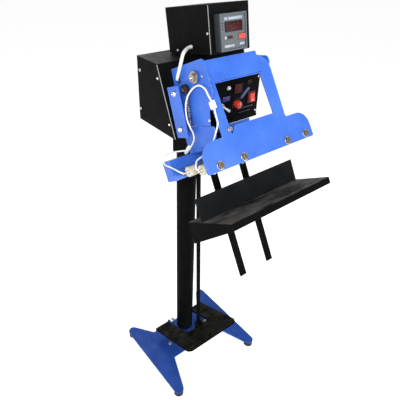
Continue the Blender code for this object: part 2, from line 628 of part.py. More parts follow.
def jaw_frame():
    left, right = ([(side * PANEL_HALF, jaw_z(0.0), 0.006), (side * PANEL_HALF, jaw_z(PANEL_HEIGHT), SHOULDER_R),
                    (foot, jaw_z(PANEL_HEIGHT), 0.006), (top, jaw_z(ARM_TOP), ARM_TOP_R)]
                   for side, foot, top in zip((-1, 1), ARM_FOOT_X, ARM_TOP_X))
    rim = right + left[::-1]
    window = [(x, jaw_z(h), r) for x, h, r in WINDOW]
    plate("jaw_frame", [rounded(rim, 7), rounded(window, 3)], "Y", -PANEL_N[1], -PANEL_N[0], BLUE, JAW)
    low = (CROSS_X[0], -PANEL_N[1] - GAP - CROSS_DEPTH, jaw_z(CROSS_H[0]))
    high = (CROSS_X[1], -PANEL_N[1] - GAP, jaw_z(CROSS_H[1]))
    open_box("cross_member", low, high, (0, 1, 0), 0.003, BLUE, JAW)
    ring("jaw_sleeve", SHAFT_R + GAP, SLEEVE_R, -SLEEVE_HALF, SLEEVE_HALF, BLUE, JAW, (0, 0, 0), ALONG_X, 24)


def front_jaw():
    front, back = -FRONT_CHANNEL_N[1], -FRONT_CHANNEL_N[0]
    low, high = -FRONT_CHANNEL_D[1], -FRONT_CHANNEL_D[0]
    wall = 0.003
    corners = [(front, low), (back, low), (back, high), (front, high), (front, high - wall),
               (back - wall, high - wall), (back - wall, low + wall), (front, low + wall)]
    plate("front_jaw_channel", [corners], "X", -FRONT_CHANNEL_HALF, FRONT_CHANNEL_HALF, BLUE, JAW)
    box("front_heater_bar", (-BAR_HALF, -FRONT_BAR_N[1], -BAR_D[1]), (BAR_HALF, -FRONT_BAR_N[0], -BAR_D[0]),
        ALUMINIUM, JAW)
    terminal("front_terminal", -FRONT_CHANNEL_HALF, -0.0098, JAW)


def jaw_shaft():
    rod("pivot_shaft", (SHAFT_X[0], 0, 0), (SHAFT_X[1], 0, 0), SHAFT_R, ZINC, JAW, 20)
    face = LEVER_X[0] - GAP
    bore = circle((0, 0), SHAFT_R + GAP)
    washer = plate("pivot_nut", [circle((0, 0), 0.0165, 28), bore], "X", face - 0.0035, face, ZINC, JAW)
    nut = plate("pivot_nut_hex", [circle((0, 0), 0.0115, 6), bore], "X", face - 0.0110, face - 0.0030, ZINC, JAW)
    combine(washer, "UNION", nut)


def spring_lever():
    n, d = LEVER_END
    bores = (SHAFT_R + GAP, 0)
    strap("spring_lever", (0, 0), (-n, -d), 0.012, bores, LEVER_X, BLUE, JAW)
    length = KNOB_X[1] - KNOB_X[0]
    profile = [(0.0, 0.0), (KNOB_R * 0.7, 0.0), (KNOB_R, -length * 0.25), (KNOB_R, -length * 0.85),
               (KNOB_R * 0.8, -length), (0.0, -length)]
    open_turned("spring_knob", profile, BLACK_PLASTIC, JAW, (KNOB_X[1], -n, -d), ALONG_X, 24)


def link_lug():
    y, z = -LUG_N, -LUG_D
    root = -PANEL_N[0] + GAP
    corners = [(root, z - 0.016), (root, z + 0.016), (y + 0.009, z + 0.009, 0.008), (y + 0.009, z - 0.009, 0.008)]
    lug = plate("link_lug", [rounded(corners)], "X", -0.0040, 0.0020, BLUE, JAW)
    pin = rod("link_lug_pin", (-STRAP_X[1] - 0.003, y, z), (0, y, z), SMALL_PIN_R, STEEL, JAW, 16)
    combine(lug, "UNION", pin)


def return_spring():
    top = Vector((SPRING_X, -SPRING_TOP[0], -SPRING_TOP[1]))
    foot = Vector((SPRING_X, -SPRING_FOOT[0], -SPRING_FOOT[1]))
    along = foot - top
    side = Vector((1, 0, 0))
    front = along.normalized().cross(side)
    steps = 10 * SPRING_TURNS
    points = []
    for k in range(steps + 1):
        turn = 2 * math.pi * k * SPRING_TURNS / steps
        points.append(top + along * (k / steps) + SPRING_R * (math.cos(turn) * side + math.sin(turn) * front))
    tube("return_spring", points, SPRING_WIRE_R, STEEL, HEAD, 1)


# ---------------------------------------------------------------------- tray
def guide_bar(name, x):
    low, high = -GUIDE_D[1], -GUIDE_D[0]
    rim = [(x - GUIDE_HALF, low, 0.002), (x + GUIDE_HALF, low, 0.002), (x + GUIDE_HALF, high),
           (x - GUIDE_HALF, high)]
    plate(name, [rounded(rim, 2)], "Y", -GUIDE_N[1], -GUIDE_N[0], BLACK, HEAD)


def tray():
    frame = guide("tray_slide", HEAD, (0, 0, -TRAY_D), 0.0)
    front, back = -TRAY_N[1], -TRAY_N[0]

    def taper(shape):
        for vert in shape.verts:
            if vert.co.z < 0 and vert.co.y > 0:
                vert.co.z -= TRAY_GUSSET - TRAY_LIP
        deep = [f for f in shape.faces if f.normal.y > 0.5]
        bmesh.ops.delete(shape, geom=deep, context="FACES_ONLY")
        shape.normal_update()
        for face in shape.faces:
            if face.normal.z < -0.5:
                face.normal = Vector((0, 0, -1))
    open_box("tray_shelf", (-TRAY_HALF, front, -TRAY_LIP), (TRAY_HALF, back, 0.0), (0, 0, -1), TRAY_SHEET,
             BLACK, frame, taper)
    box("tray_back_plate", (-TRAY_HALF, -TRAY_BACK_N - TRAY_SHEET, GAP),
        (TRAY_HALF, -TRAY_BACK_N, TRAY_BACK_HEIGHT), BLACK, frame)
    face, rear = -GUIDE_N[1] - GAP, -GUIDE_N[0] + GAP
    low, high = -0.034, -0.010
    plate_front = box("tray_clamp", (-CLAMP_HALF, back + GAP, low), (CLAMP_HALF, face, high), BLACK, frame)
    plate_rear = box("clamp_rear", (-CLAMP_HALF, rear, low), (CLAMP_HALF, rear + 0.004, high), BLACK, frame)
    middle = (low + high) / 2
    bolts = [rod(f"clamp_bolt_{x}", (x, face - 0.001, middle), (x, rear + 0.012, middle),
                 CLAMP_BOLT_R, ZINC, frame, 12) for x in CLAMP_BOLT_X]
    combine(plate_front, "UNION", plate_rear, *bolts)


# --------------------------------------------------------------------- boxes
def control_box():
    floor, top = BOX_Z
    size = (2 * BOX_HALF, BOX_BACK_Y - BOX_FOOT_FRONT_Y, top - floor)
    middle = Vector((0, (BOX_BACK_Y + BOX_FOOT_FRONT_Y) / 2, (floor + top) / 2))

    def make(shape):
        bmesh.ops.create_cube(shape, size=1.0)
        bmesh.ops.scale(shape, verts=shape.verts, vec=size)
        for vert in shape.verts:
            if vert.co.y < 0 and vert.co.z > 0:
                vert.co.y = BOX_TOP_FRONT_Y - middle.y
    shell = place(mesh_object("control_box", make), BLACK, STAND, middle)
    wall = shell.modifiers.new("wall", "SOLIDIFY")
    wall.thickness = BOX_WALL
    wall.offset = -1.0
    hole = rod("box_floor_hole", (0, 0, floor - 0.01), (0, 0, floor + 0.01), FLOOR_HOLE_R, BLACK, STAND, 24)
    combine(shell, "DIFFERENCE", hole)


def control_panel():
    low, high = PANEL_Z
    corners = [(PANEL_FACE_Y, low), (PANEL_FACE_Y, high), (box_front_y(high) - 2 * GAP, high),
               (box_front_y(low) - 2 * GAP, low)]
    panel = plate("control_panel", [corners], "X", *PANEL_X, BLACK, STAND)
    x, z = ROCKER_AT
    pocket = box("rocker_pocket", (x - 0.0110, PANEL_FACE_Y - 0.010, z - 0.0155),
                 (x + 0.0110, PANEL_FACE_Y + 0.008, z + 0.0155), BLACK, STAND)
    combine(panel, "DIFFERENCE", pocket)


def switches():
    face = PANEL_FACE_Y - GAP
    rocker = guide("rocker_axis", STAND, (ROCKER_AT[0], face - 0.003, ROCKER_AT[1]), 0.0)
    corners = [(-0.010, -0.0135), (0.0030, -0.0135), (0.0030, 0.0135), (-0.005, 0.0135), (-0.0065, 0.0)]
    plate("rocker_switch", [corners], "X", -0.010, 0.010, RED_PLASTIC, rocker)
    knob_at = (KNOB_AT[0], face, KNOB_AT[1])
    profile = [(0.0, 0.0), (0.0120, 0.0), (0.0124, -0.003), (0.0112, -0.016), (0.0090, -0.018), (0.0, -0.018)]
    turned_to_front = Matrix(((1, 0, 0), (0, 0, 1), (0, -1, 0)))
    open_turned("timer_knob", profile, RED_PLASTIC, STAND, knob_at, turned_to_front, 28)
    toggle = guide("toggle_axis", STAND, (TOGGLE_AT[0], face - 0.005, TOGGLE_AT[1]), 0.0)
    rod("toggle_lever", (0, 0, 0), (0.010, -0.022, -0.010), 0.0032, WHITE_PLASTIC, toggle, 14, 0.0045)


def case_bracket():
    """The wedge that holds the tilted case on the control box."""
    slope = math.tan(math.radians(CASE_TILT))
    rear_z = CASE_FRONT[1] - CASE_DEPTH * math.sin(math.radians(CASE_TILT))
    rear_y = CASE_FRONT[0] + CASE_DEPTH * math.cos(math.radians(CASE_TILT))

    def under_case(y):
        return rear_z + (rear_y - y) * slope - GAP
    floor = BOX_Z[1] + GAP
    corners = [(-0.012, floor), (-0.012, under_case(-0.012)), (-0.072, under_case(-0.072)), (-0.072, floor)]
    plate("case_bracket", [corners], "X", -CASE_HALF, CASE_HALF, BLACK, STAND)


def controller_case():
    frame = guide("case_frame", STAND, (0, *CASE_FRONT), CASE_TILT)
    shell = box("controller_case", (-CASE_HALF, 0, 0), (CASE_HALF, CASE_DEPTH, CASE_HEIGHT), BLACK, frame)
    hollow = box("case_hollow", (BOX_WALL - CASE_HALF, BOX_WALL, BOX_WALL),
                 (CASE_HALF - BOX_WALL, CASE_DEPTH - BOX_WALL, CASE_HEIGHT - BOX_WALL), BLACK, frame)
    hole = rod("case_wire_hole", (0, CASE_DEPTH - 0.030, -0.01), (0, CASE_DEPTH - 0.030, 0.01), WIRE_HOLE_R,
               BLACK, frame, 16)
    combine(shell, "DIFFERENCE", hollow, hole)
    middle = CASE_HEIGHT / 2 - CONTROLLER_DROP
    low = (CONTROLLER_X - CONTROLLER_HALF, -CONTROLLER_DEPTH - GAP, middle - CONTROLLER_HALF)
    high = (CONTROLLER_X + CONTROLLER_HALF, -GAP, middle + CONTROLLER_HALF)
    body = box("temperature_controller", low, high, GREY_PLASTIC, frame)
    x, z = CONTROLLER_X + BUTTON_AT[0], middle + BUTTON_AT[1]
    half_x, half_z = BUTTON_SIZE[0] / 2, BUTTON_SIZE[1] / 2
    face = -CONTROLLER_DEPTH - GAP
    pocket = box("button_pocket", (x - half_x - GAP, face - 0.01, z - half_z - GAP),
                 (x + half_x + GAP, face + BUTTON_POCKET, z + half_z + GAP), GREY_PLASTIC, frame)
    combine(body, "DIFFERENCE", pocket)
    box("controller_button", (x - half_x, face - 0.002, z - half_z), (x + half_x, face + 0.002, z + half_z),
        RED_PLASTIC, frame)


def transformer():
    box("transformer", (-0.055, -0.060, BOX_Z[0] + BOX_WALL + GAP), (0.055, 0.024, BOX_Z[0] + 0.090), STEEL, STAND)


# --------------------------------------------------------------------- leads
def leads():
    """White heater leads, held at both ends, as stops of (X, n, d) on the head."""
    supply = [(-0.0750, -0.0639, -0.0932), (-0.0920, -0.0610, -0.0900), (-0.1300, -0.0360, -0.0719),
              (-0.1450, -0.0420, -0.0450), (-0.1485, -0.0618, -0.0234), (-0.1460, -0.0750, -0.0145)]
    front = [(-0.1475, -0.1134, 0.1843), (-0.1475, -0.0792, 0.1613), (-0.1500, -0.0701, 0.1411),
             (-0.1600, -0.0613, 0.1224), (-0.1590, -0.0660, 0.0970), (-0.1580, -0.0553, 0.0646),
             (-0.1580, -0.0316, 0.0410), (-0.1500, -0.0080, 0.0262), (-0.1450, 0.0141, 0.0251),
             (-0.1435, 0.0332, 0.0394), (-0.1435, 0.0385, 0.0567), (-0.1430, 0.0474, 0.0853),
             (-0.1430, 0.0464, 0.1069), (-0.1430, 0.0444, 0.1341), (-0.1430, 0.0280, 0.1539),
             (-0.1430, 0.0025, 0.1782), (-0.1650, -0.0040, 0.1990), (-0.1900, 0.0037, 0.2065),
             (-0.2100, 0.0024, 0.2118), (-0.2250, 0.0100, 0.2230), (-0.2290, 0.0150, 0.2350),
             (-0.2220, 0.0150, 0.2404), (-0.2080, 0.0150, 0.2407)]
    rear = [(-0.1500, -0.1190, 0.1843), (-0.1550, -0.1253, 0.1854), (-0.1650, -0.1318, 0.1834),
            (-0.1850, -0.1392, 0.1800), (-0.2050, -0.1424, 0.1801), (-0.2230, -0.1400, 0.1815),
            (-0.2305, -0.1397, 0.1883), (-0.2310, -0.1415, 0.1972), (-0.2310, -0.1380, 0.2067),
            (-0.2310, -0.1048, 0.2188), (-0.2310, -0.0720, 0.2330), (-0.2230, -0.0633, 0.2405),
            (-0.2020, -0.0633, 0.2413)]
    for name, stops, radius, step in (("supply_cable", supply, 0.0050, 0.012),
                                      ("front_lead", front, 0.0024, 0.008), ("rear_lead", rear, 0.0024, 0.008)):
        route = smooth_route([(x, -n, -d) for x, n, d in stops], step)
        tube(name, route, radius, WIRE, HEAD, 2)


def main():
    base()
    for name, side in (("pedal_pivot_left", -1), ("pedal_pivot_right", 1)):
        pedal_pivot(name, side)
    pedal()
    pull_rod()
    bell_crank()
    draw_link()
    column_head_bracket()
    rear_plate()
    rear_jaw()
    left_cheek()
    side_channel()
    right_pivot_bracket()
    spring_anchor()
    jaw_frame()
    front_jaw()
    jaw_shaft()
    spring_lever()
    link_lug()
    return_spring()
    guide_bar("guide_bar_left", GUIDE_X[0])
    guide_bar("guide_bar_right", GUIDE_X[1])
    tray()
    control_box()
    control_panel()
    switches()
    case_bracket()
    controller_case()
    transformer()
    leads()


empty_scene()
PARTS = new_collection(NAME)
CUTTERS = new_collection(NAME + "_cutters")
STAND = guide("stand_frame", None, (0, COLUMN_Y, 0), 0.0)
HEAD = guide("head_frame", STAND, (0, *JAW_AXIS), HEAD_TILT)
JAW = guide("jaw_frame_axis", STAND, (0, *JAW_AXIS), HEAD_TILT + JAW_OPEN)
main()
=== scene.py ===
"""The looks of the foot-operated heat sealer: finishes, fasteners, labels and the studio."""
import math

import bmesh
import bpy
from mathutils import Matrix, Vector


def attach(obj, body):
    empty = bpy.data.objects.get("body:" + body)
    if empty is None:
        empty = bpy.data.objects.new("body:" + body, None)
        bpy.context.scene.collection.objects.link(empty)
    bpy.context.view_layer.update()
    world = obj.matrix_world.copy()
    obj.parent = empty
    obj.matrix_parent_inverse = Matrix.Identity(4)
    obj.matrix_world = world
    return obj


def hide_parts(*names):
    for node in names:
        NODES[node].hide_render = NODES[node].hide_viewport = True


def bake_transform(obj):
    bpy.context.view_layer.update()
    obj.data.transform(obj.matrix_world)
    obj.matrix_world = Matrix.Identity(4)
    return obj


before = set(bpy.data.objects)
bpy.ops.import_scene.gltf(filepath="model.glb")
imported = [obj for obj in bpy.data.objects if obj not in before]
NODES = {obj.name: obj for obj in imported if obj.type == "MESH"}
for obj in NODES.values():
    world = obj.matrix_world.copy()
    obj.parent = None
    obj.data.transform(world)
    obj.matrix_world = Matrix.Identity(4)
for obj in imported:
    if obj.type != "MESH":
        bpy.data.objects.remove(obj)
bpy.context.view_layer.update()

# ---------------------------------------------------------------- dimensions
COLUMN_Y = 0.1586               # from the origin back to the column's axis
JAW_AXIS = Vector((0.0, COLUMN_Y - 0.215, 1.395))
HEAD_TILT, JAW_OPEN = 30.0, 5.9
CASE_TILT, CASE_CORNER = 10.6, Vector((0.0, COLUMN_Y - 0.2003, 1.4397))
PEDAL_TILT, PEDAL_AXIS = 24.0, Vector((0.0, COLUMN_Y + 0.040, 0.082))
LIFT = 0.0004                   # a trim's gap from the surface that it is on
PANEL_FACE = 0.0137             # the front jaw's panel, in front of the jaw's axis
PANEL_BOTTOM_D = 0.2606         # its lower edge, below the axis
FLANGE_X = -0.167               # the side channel's outer flange
GUIDE_X = (-0.058, 0.068)       # the tray's guide bars
PANEL_Y = COLUMN_Y - 0.165      # the control panel's face
CHEEK_X = -0.137                # the left cheek's outer face
BOX_HALF, BOX_BACK_Y = 0.170, COLUMN_Y + 0.033                  # the control box
CASE_HALF = 0.0725              # the controller's case
FACE_OUT = 0.0223               # the controller's face, in front of the case
FACE_X, FACE_Z = -0.0075, 0.05325                               # the middle of that face
LAMP_AT, METER_AT, DARK_LAMP_AT = (0.034, 1.317), (0.074, 1.309), (0.121, 1.322)
ROCKER_AT, KNOB_AT, TOGGLE_AT = (0.135, 1.269), (0.072, 1.258), (0.011, 1.262)
BUTTON_AT = (0.031, -0.014)                                     # on the controller's face

BLUE_DEEP, BLUE_LIGHT = (0.033, 0.122, 0.545), (0.054, 0.170, 0.69)
CAMERA_AT, CAMERA_TURN, CAMERA_LENS = (-0.823, -0.9194, 1.750), (55.538, -1.722, -38.518), 37.08


# ----------------------------------------------------------------- materials
class Finish:
    """A Principled material with helpers for the nodes that feed it."""

    def __init__(self, name, colour, roughness, metallic=0.0, **inputs):
        self.material = bpy.data.materials.new(name)
        self.material.use_nodes = True
        self.tree = self.material.node_tree
        self.shader = self.tree.nodes["Principled BSDF"]
        self.shader.inputs["Base Color"].default_value = (*colour, 1.0)
        self.shader.inputs["Roughness"].default_value = roughness
        self.shader.inputs["Metallic"].default_value = metallic
        for key, value in inputs.items():
            self.shader.inputs[key.replace("_", " ")].default_value = value
        self.coordinates = self.node("ShaderNodeTexCoord").outputs["Object"]

    def node(self, kind, **settings):
        made = self.tree.nodes.new(kind)
        for key, value in settings.items():
            setattr(made, key, value)
        return made

    def link(self, output, target):
        self.tree.links.new(output, target)

    def noise(self, scale, detail=3.0, rough=0.55, stretch=(1, 1, 1)):
        mapping = self.node("ShaderNodeMapping")
        mapping.inputs["Scale"].default_value = stretch
        self.link(self.coordinates, mapping.inputs["Vector"])
        made = self.node("ShaderNodeTexNoise")
        made.inputs["Scale"].default_value = scale
        made.inputs["Detail"].default_value = detail
        made.inputs["Roughness"].default_value = rough
        self.link(mapping.outputs["Vector"], made.inputs["Vector"])
        return made.outputs["Fac"]

    def ramp(self, value, low, high, first=0.0, last=1.0):
        made = self.node("ShaderNodeMapRange", clamp=True)
        made.inputs["From Min"].default_value = low
        made.inputs["From Max"].default_value = high
        made.inputs["To Min"].default_value = first
        made.inputs["To Max"].default_value = last
        self.link(value, made.inputs["Value"])
        return made.outputs["Result"]

    def times(self, a, b):
        made = self.node("ShaderNodeMath", operation="MULTIPLY")
        self.link(a, made.inputs[0])
        if isinstance(b, float):
            made.inputs[1].default_value = b
        else:
            self.link(b, made.inputs[1])
        return made.outputs["Value"]

    def mix_colour(self, share, first, second):
        made = self.node("ShaderNodeMix", data_type="RGBA")
        self.link(share, made.inputs[0])
        for slot, colour in ((6, first), (7, second)):
            if isinstance(colour, tuple):
                made.inputs[slot].default_value = (*colour, 1.0)
            else:
                self.link(colour, made.inputs[slot])
        return made.outputs[2]

    def facing(self, axis, low, high):
        """0 to 1 as the normal's part along a world axis goes from low to high."""
        normal = self.node("ShaderNodeNewGeometry").outputs["Normal"]
        parts = self.node("ShaderNodeSeparateXYZ")
        self.link(normal, parts.inputs["Vector"])
        return self.ramp(parts.outputs[axis], low, high)

    def facing_up(self):
        """1 on what looks up, 0 on walls and undersides."""
        return self.facing("Z", 0.60, 0.92)

    def height(self):
        parts = self.node("ShaderNodeSeparateXYZ")
        self.link(self.coordinates, parts.inputs["Vector"])
        return parts.outputs["Z"]

    def edges(self, width):
        """1 where the surface turns sharply within the width, 0 on the flat."""
        bevel = self.node("ShaderNodeBevel", samples=6)
        bevel.inputs["Radius"].default_value = width
        dot = self.node("ShaderNodeVectorMath", operation="DOT_PRODUCT")
        self.link(bevel.outputs["Normal"], dot.inputs[0])
        self.link(self.node("ShaderNodeNewGeometry").outputs["Normal"], dot.inputs[1])
        return self.ramp(dot.outputs["Value"], 0.995, 0.90)

    def colour(self, output):
        self.link(output, self.shader.inputs["Base Color"])

    def roughness(self, output):
        self.link(output, self.shader.inputs["Roughness"])

    def bump(self, height, depth, strength=0.5, round_edges=0.0):
        made = self.node("ShaderNodeBump")
        made.inputs["Strength"].default_value = strength
        made.inputs["Distance"].default_value = depth
        self.link(height, made.inputs["Height"])
        if round_edges:
            bevel = self.node("ShaderNodeBevel", samples=6)
            bevel.inputs["Radius"].default_value = round_edges
            self.link(bevel.outputs["Normal"], made.inputs["Normal"])
        self.link(made.outputs["Normal"], self.shader.inputs["Normal"])


def blue_paint():
    """Gloss enamel on sheet steel: orange peel, uneven shade, chipped edges, dust low down."""
    made = Finish("sealer_blue_enamel", (0.05, 0.16, 0.75), 0.34, Coat_Weight=0.10, Coat_Roughness=0.20,
                  Specular_IOR_Level=0.30)
    shade = made.mix_colour(made.ramp(made.noise(9.0, 4.0), 0.35, 0.70), BLUE_DEEP, BLUE_LIGHT)
    blotch = made.ramp(made.noise(55.0, 5.0, 0.65), 0.58, 0.80, 0.0, 0.22)
    shade = made.mix_colour(blotch, shade, (0.055, 0.11, 0.42))
    low = made.ramp(made.height(), 0.30, 0.02)
    patches = made.ramp(made.noise(60.0, 6.0, 0.7), 0.35, 0.75, 0.15, 0.6)
    dusty = made.times(made.times(low, made.facing_up()), patches)
    shade = made.mix_colour(dusty, shade, (0.20, 0.18, 0.15))
    worn = made.times(made.edges(0.0012), made.ramp(made.noise(120.0, 4.0, 0.7), 0.50, 0.62))
    shade = made.mix_colour(worn, shade, (0.42, 0.55, 0.85))
    made.colour(shade)
    made.roughness(made.ramp(made.noise(30.0, 4.0), 0.3, 0.8, 0.26, 0.46))
    made.bump(made.noise(420.0, 2.0), 0.0004, 0.25, 0.0012)
    return made.material


def base_blue_paint():
    """The same enamel down on the base, where it is darker and dusty."""
    made = Finish("sealer_base_enamel", (0.02, 0.09, 0.36), 0.50, Coat_Weight=0.0, Specular_IOR_Level=0.12)
    uneven = made.ramp(made.noise(11.0, 5.0), 0.35, 0.70)
    shade = made.mix_colour(uneven, (0.012, 0.052, 0.27), (0.018, 0.068, 0.33))
    dust = made.times(made.facing_up(), made.ramp(made.noise(45.0, 7.0, 0.7), 0.42, 0.78, 0.0, 0.10))
    shade = made.mix_colour(dust, shade, (0.10, 0.12, 0.18))
    scuff = made.ramp(made.noise(25.0, 6.0, 0.8, (1.0, 6.0, 1.0)), 0.66, 0.74, 0.0, 0.12)
    shade = made.mix_colour(made.times(scuff, made.facing_up()), shade, (0.20, 0.30, 0.50))
    worn = made.times(made.edges(0.0012), made.ramp(made.noise(90.0, 4.0, 0.7), 0.46, 0.60))
    shade = made.mix_colour(worn, shade, (0.07, 0.12, 0.30))
    made.colour(shade)
    made.roughness(made.ramp(made.noise(35.0, 5.0), 0.3, 0.8, 0.34, 0.62))
    made.bump(made.noise(380.0, 2.0), 0.0004, 0.25, 0.0012)
    return made.material


def black_paint(name, dust_amount, dust_colour=(0.12, 0.10, 0.085), base=(0.0035, 0.0037, 0.0040),
                stretch=(1, 1, 1), shine=0.010):
    """Powder coat with a fine orange peel, a grey bloom, and dust on what faces up."""
    made = Finish(name, base, 0.48, Specular_IOR_Level=shine)
    bloom = made.ramp(made.noise(14.0, 5.0, 0.6), 0.40, 0.75, 0.0, 0.45)
    shade = made.mix_colour(bloom, base, tuple(c * 2.4 for c in base))
    patches = made.ramp(made.noise(26.0, 7.0, 0.68, stretch), 0.38, 0.64, 0.10, 1.0)
    dust = made.times(made.times(made.facing_up(), patches), dust_amount)
    shade = made.mix_colour(dust, shade, dust_colour)
    worn = made.times(made.edges(0.0010), made.ramp(made.noise(140.0, 3.0), 0.40, 0.60, 0.0, 0.55))
    shade = made.mix_colour(worn, shade, (0.11, 0.11, 0.11))
    made.colour(shade)
    made.roughness(made.ramp(made.noise(40.0, 4.0), 0.3, 0.8, 0.44, 0.64))
    made.bump(made.noise(700.0, 2.0), 0.0003, 0.30, 0.0010)
    return made.material


def metal(name, colour, dark, roughness, stretch=(1, 1, 1)):
    """Bare or plated metal with drawn marks and a little tarnish."""
    made = Finish(name, colour, roughness, 1.0)
    tarnish = made.ramp(made.noise(60.0, 5.0, 0.65), 0.42, 0.72)
    made.colour(made.mix_colour(tarnish, colour, dark))
    marks = made.noise(90.0, 4.0, 0.6, stretch)
    made.roughness(made.ramp(marks, 0.3, 0.75, roughness - 0.08, roughness + 0.18))
    made.bump(made.noise(260.0, 3.0, 0.6, stretch), 0.0002, 0.25, 0.0006)
    return made.material


def plastic(name, colour, roughness, grain=900.0, **inputs):
    made = Finish(name, colour, roughness, **inputs)
    darker = tuple(c * 0.72 for c in colour)
    made.colour(made.mix_colour(made.ramp(made.noise(70.0, 4.0), 0.45, 0.75, 0.0, 0.6), colour, darker))
    made.roughness(made.ramp(made.noise(120.0, 3.0), 0.3, 0.8, roughness - 0.05, roughness + 0.12))
    made.bump(made.noise(grain, 2.0), 0.0002, 0.25, 0.0005)
    return made.material


def controller_plastic():
    """The moulded instrument: dark sides, a paler front face."""
    made = Finish("sealer_bezel_grey", (0.028, 0.031, 0.036), 0.42)
    shade = made.mix_colour(made.facing("Y", -0.70, -0.85), (0.028, 0.031, 0.036), (0.075, 0.090, 0.098))
    smudge = made.ramp(made.noise(70.0, 4.0), 0.45, 0.75, 0.0, 0.35)
    made.colour(made.mix_colour(smudge, shade, (0.030, 0.034, 0.040)))
    made.roughness(made.ramp(made.noise(120.0, 3.0), 0.3, 0.8, 0.37, 0.54))
    made.bump(made.noise(900.0, 2.0), 0.0002, 0.25, 0.0005)
    return made.material


def rubber():
    made = Finish("sealer_rubber", (0.012, 0.012, 0.012), 0.80)
    dust = made.ramp(made.noise(80.0, 5.0, 0.7), 0.45, 0.75, 0.0, 0.5)
    made.colour(made.mix_colour(dust, (0.010, 0.010, 0.010), (0.050, 0.046, 0.042)))
    made.bump(made.noise(500.0, 3.0), 0.0004, 0.4, 0.0015)
    return made.material


def ceramic():
    made = Finish("sealer_ceramic", (0.74, 0.68, 0.52), 0.55)
    stain = made.ramp(made.noise(90.0, 6.0, 0.7), 0.50, 0.75)
    made.colour(made.mix_colour(stain, (0.62, 0.58, 0.46), (0.28, 0.23, 0.16)))
    made.bump(made.noise(600.0, 3.0), 0.0004, 0.35, 0.0008)
    return made.material


def sleeving():
    """Woven white sleeving: a fine diagonal braid."""
    made = Finish("sealer_sleeving", (0.80, 0.82, 0.82), 0.60)
    wave = made.node("ShaderNodeTexWave", wave_type="BANDS", bands_direction="DIAGONAL")
    wave.inputs["Scale"].default_value = 420.0
    wave.inputs["Distortion"].default_value = 2.0
    made.link(made.coordinates, wave.inputs["Vector"])
    grime = made.ramp(made.noise(45.0, 5.0, 0.7), 0.50, 0.78, 0.0, 0.6)
    made.colour(made.mix_colour(grime, (0.84, 0.86, 0.86), (0.52, 0.52, 0.50)))
    made.bump(wave.outputs["Fac"], 0.0004, 0.5)
    return made.material


def glow(name, colour, strength, base):
    made = Finish(name, base, 0.45, Coat_Weight=0.05, Specular_IOR_Level=0.15)
    made.shader.inputs["Emission Color"].default_value = (*colour, 1.0)
    made.shader.inputs["Emission Strength"].default_value = strength
    speck = made.ramp(made.noise(200.0, 3.0), 0.4, 0.7, 0.0, 0.35)
    made.colour(made.mix_colour(speck, base, tuple(c * 0.5 for c in base)))
    return made.material


# ------------------------------------------------------------ places on parts
def at(x, y, z):
    return Matrix.Translation((x, y, z))


def turned_frame(origin, tilt):
    """A frame whose X is the machine's, Z is up the tilted part and Y goes back."""
    return Matrix.Translation(origin) @ Matrix.Rotation(-math.radians(tilt), 4, "X")


HEAD = turned_frame(JAW_AXIS, HEAD_TILT)
JAW = turned_frame(JAW_AXIS, HEAD_TILT + JAW_OPEN)
CASE = turned_frame(CASE_CORNER, CASE_TILT)
PEDAL = turned_frame(PEDAL_AXIS, PEDAL_TILT)
UPRIGHT = Matrix.Identity(4)
TO_FRONT = Matrix.Rotation(math.radians(90), 4, "X")            # local Z looks along -Y
TO_LEFT = Matrix.Rotation(math.radians(-90), 4, "Y")            # local Z looks along -X
TO_RIGHT = Matrix.Rotation(math.radians(90), 4, "Y")
TO_BACK = Matrix.Rotation(math.radians(-90), 4, "X")


def on_head(x, n, d):
    """On the fixed head: n in front of the jaw's axis and d below it, square to the head's tilt."""
    return HEAD @ at(x, -n, -d)


def on_panel(x, height, out=0.0):
    """On the front jaw's panel, a height above its lower edge."""
    return JAW @ at(x, -PANEL_FACE - out, height - PANEL_BOTTOM_D)


def on_case(x, z, out=0.0):
    """On the controller case's front, from its lower middle."""
    return CASE @ at(x, -out, z)


def finish_piece(name, mesh, finish, body, matrix=UPRIGHT, smooth=35.0):
    """The mesh as a piece that rides the body; smooth is the widest angle that is shaded as a curve."""
    obj = bpy.data.objects.new(name, mesh)
    bpy.context.scene.collection.objects.link(obj)
    obj.matrix_world = matrix
    mesh.materials.append(MATERIALS[finish])
    mesh.shade_smooth()
    mesh.set_sharp_from_angle(angle=math.radians(smooth))
    if body:
        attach(obj, body)
    return obj


def mesh_from(name, shape):
    mesh = bpy.data.meshes.new(name)
    bmesh.ops.recalc_face_normals(shape, faces=shape.faces)
    shape.to_mesh(mesh)
    shape.free()
    return mesh


def lathe(profile, sides=28):
    """A bmesh of a profile of (radius, height) turned about Z."""
    shape = bmesh.new()
    rings = []
    for radius, height in profile:
        if radius == 0.0:
            rings.append([shape.verts.new((0, 0, height))])
            continue
        ring = []
        for k in range(sides):
            turn = 2 * math.pi * k / sides
            ring.append(shape.verts.new((radius * math.cos(turn), radius * math.sin(turn), height)))
        rings.append(ring)
    for low, high in zip(rings, rings[1:]):
        for k in range(sides):
            corners = [low[k % len(low)], low[(k + 1) % len(low)],
                       high[(k + 1) % len(high)], high[k % len(high)]]
            corners = list(dict.fromkeys(corners))
            shape.faces.new(corners)
    return shape


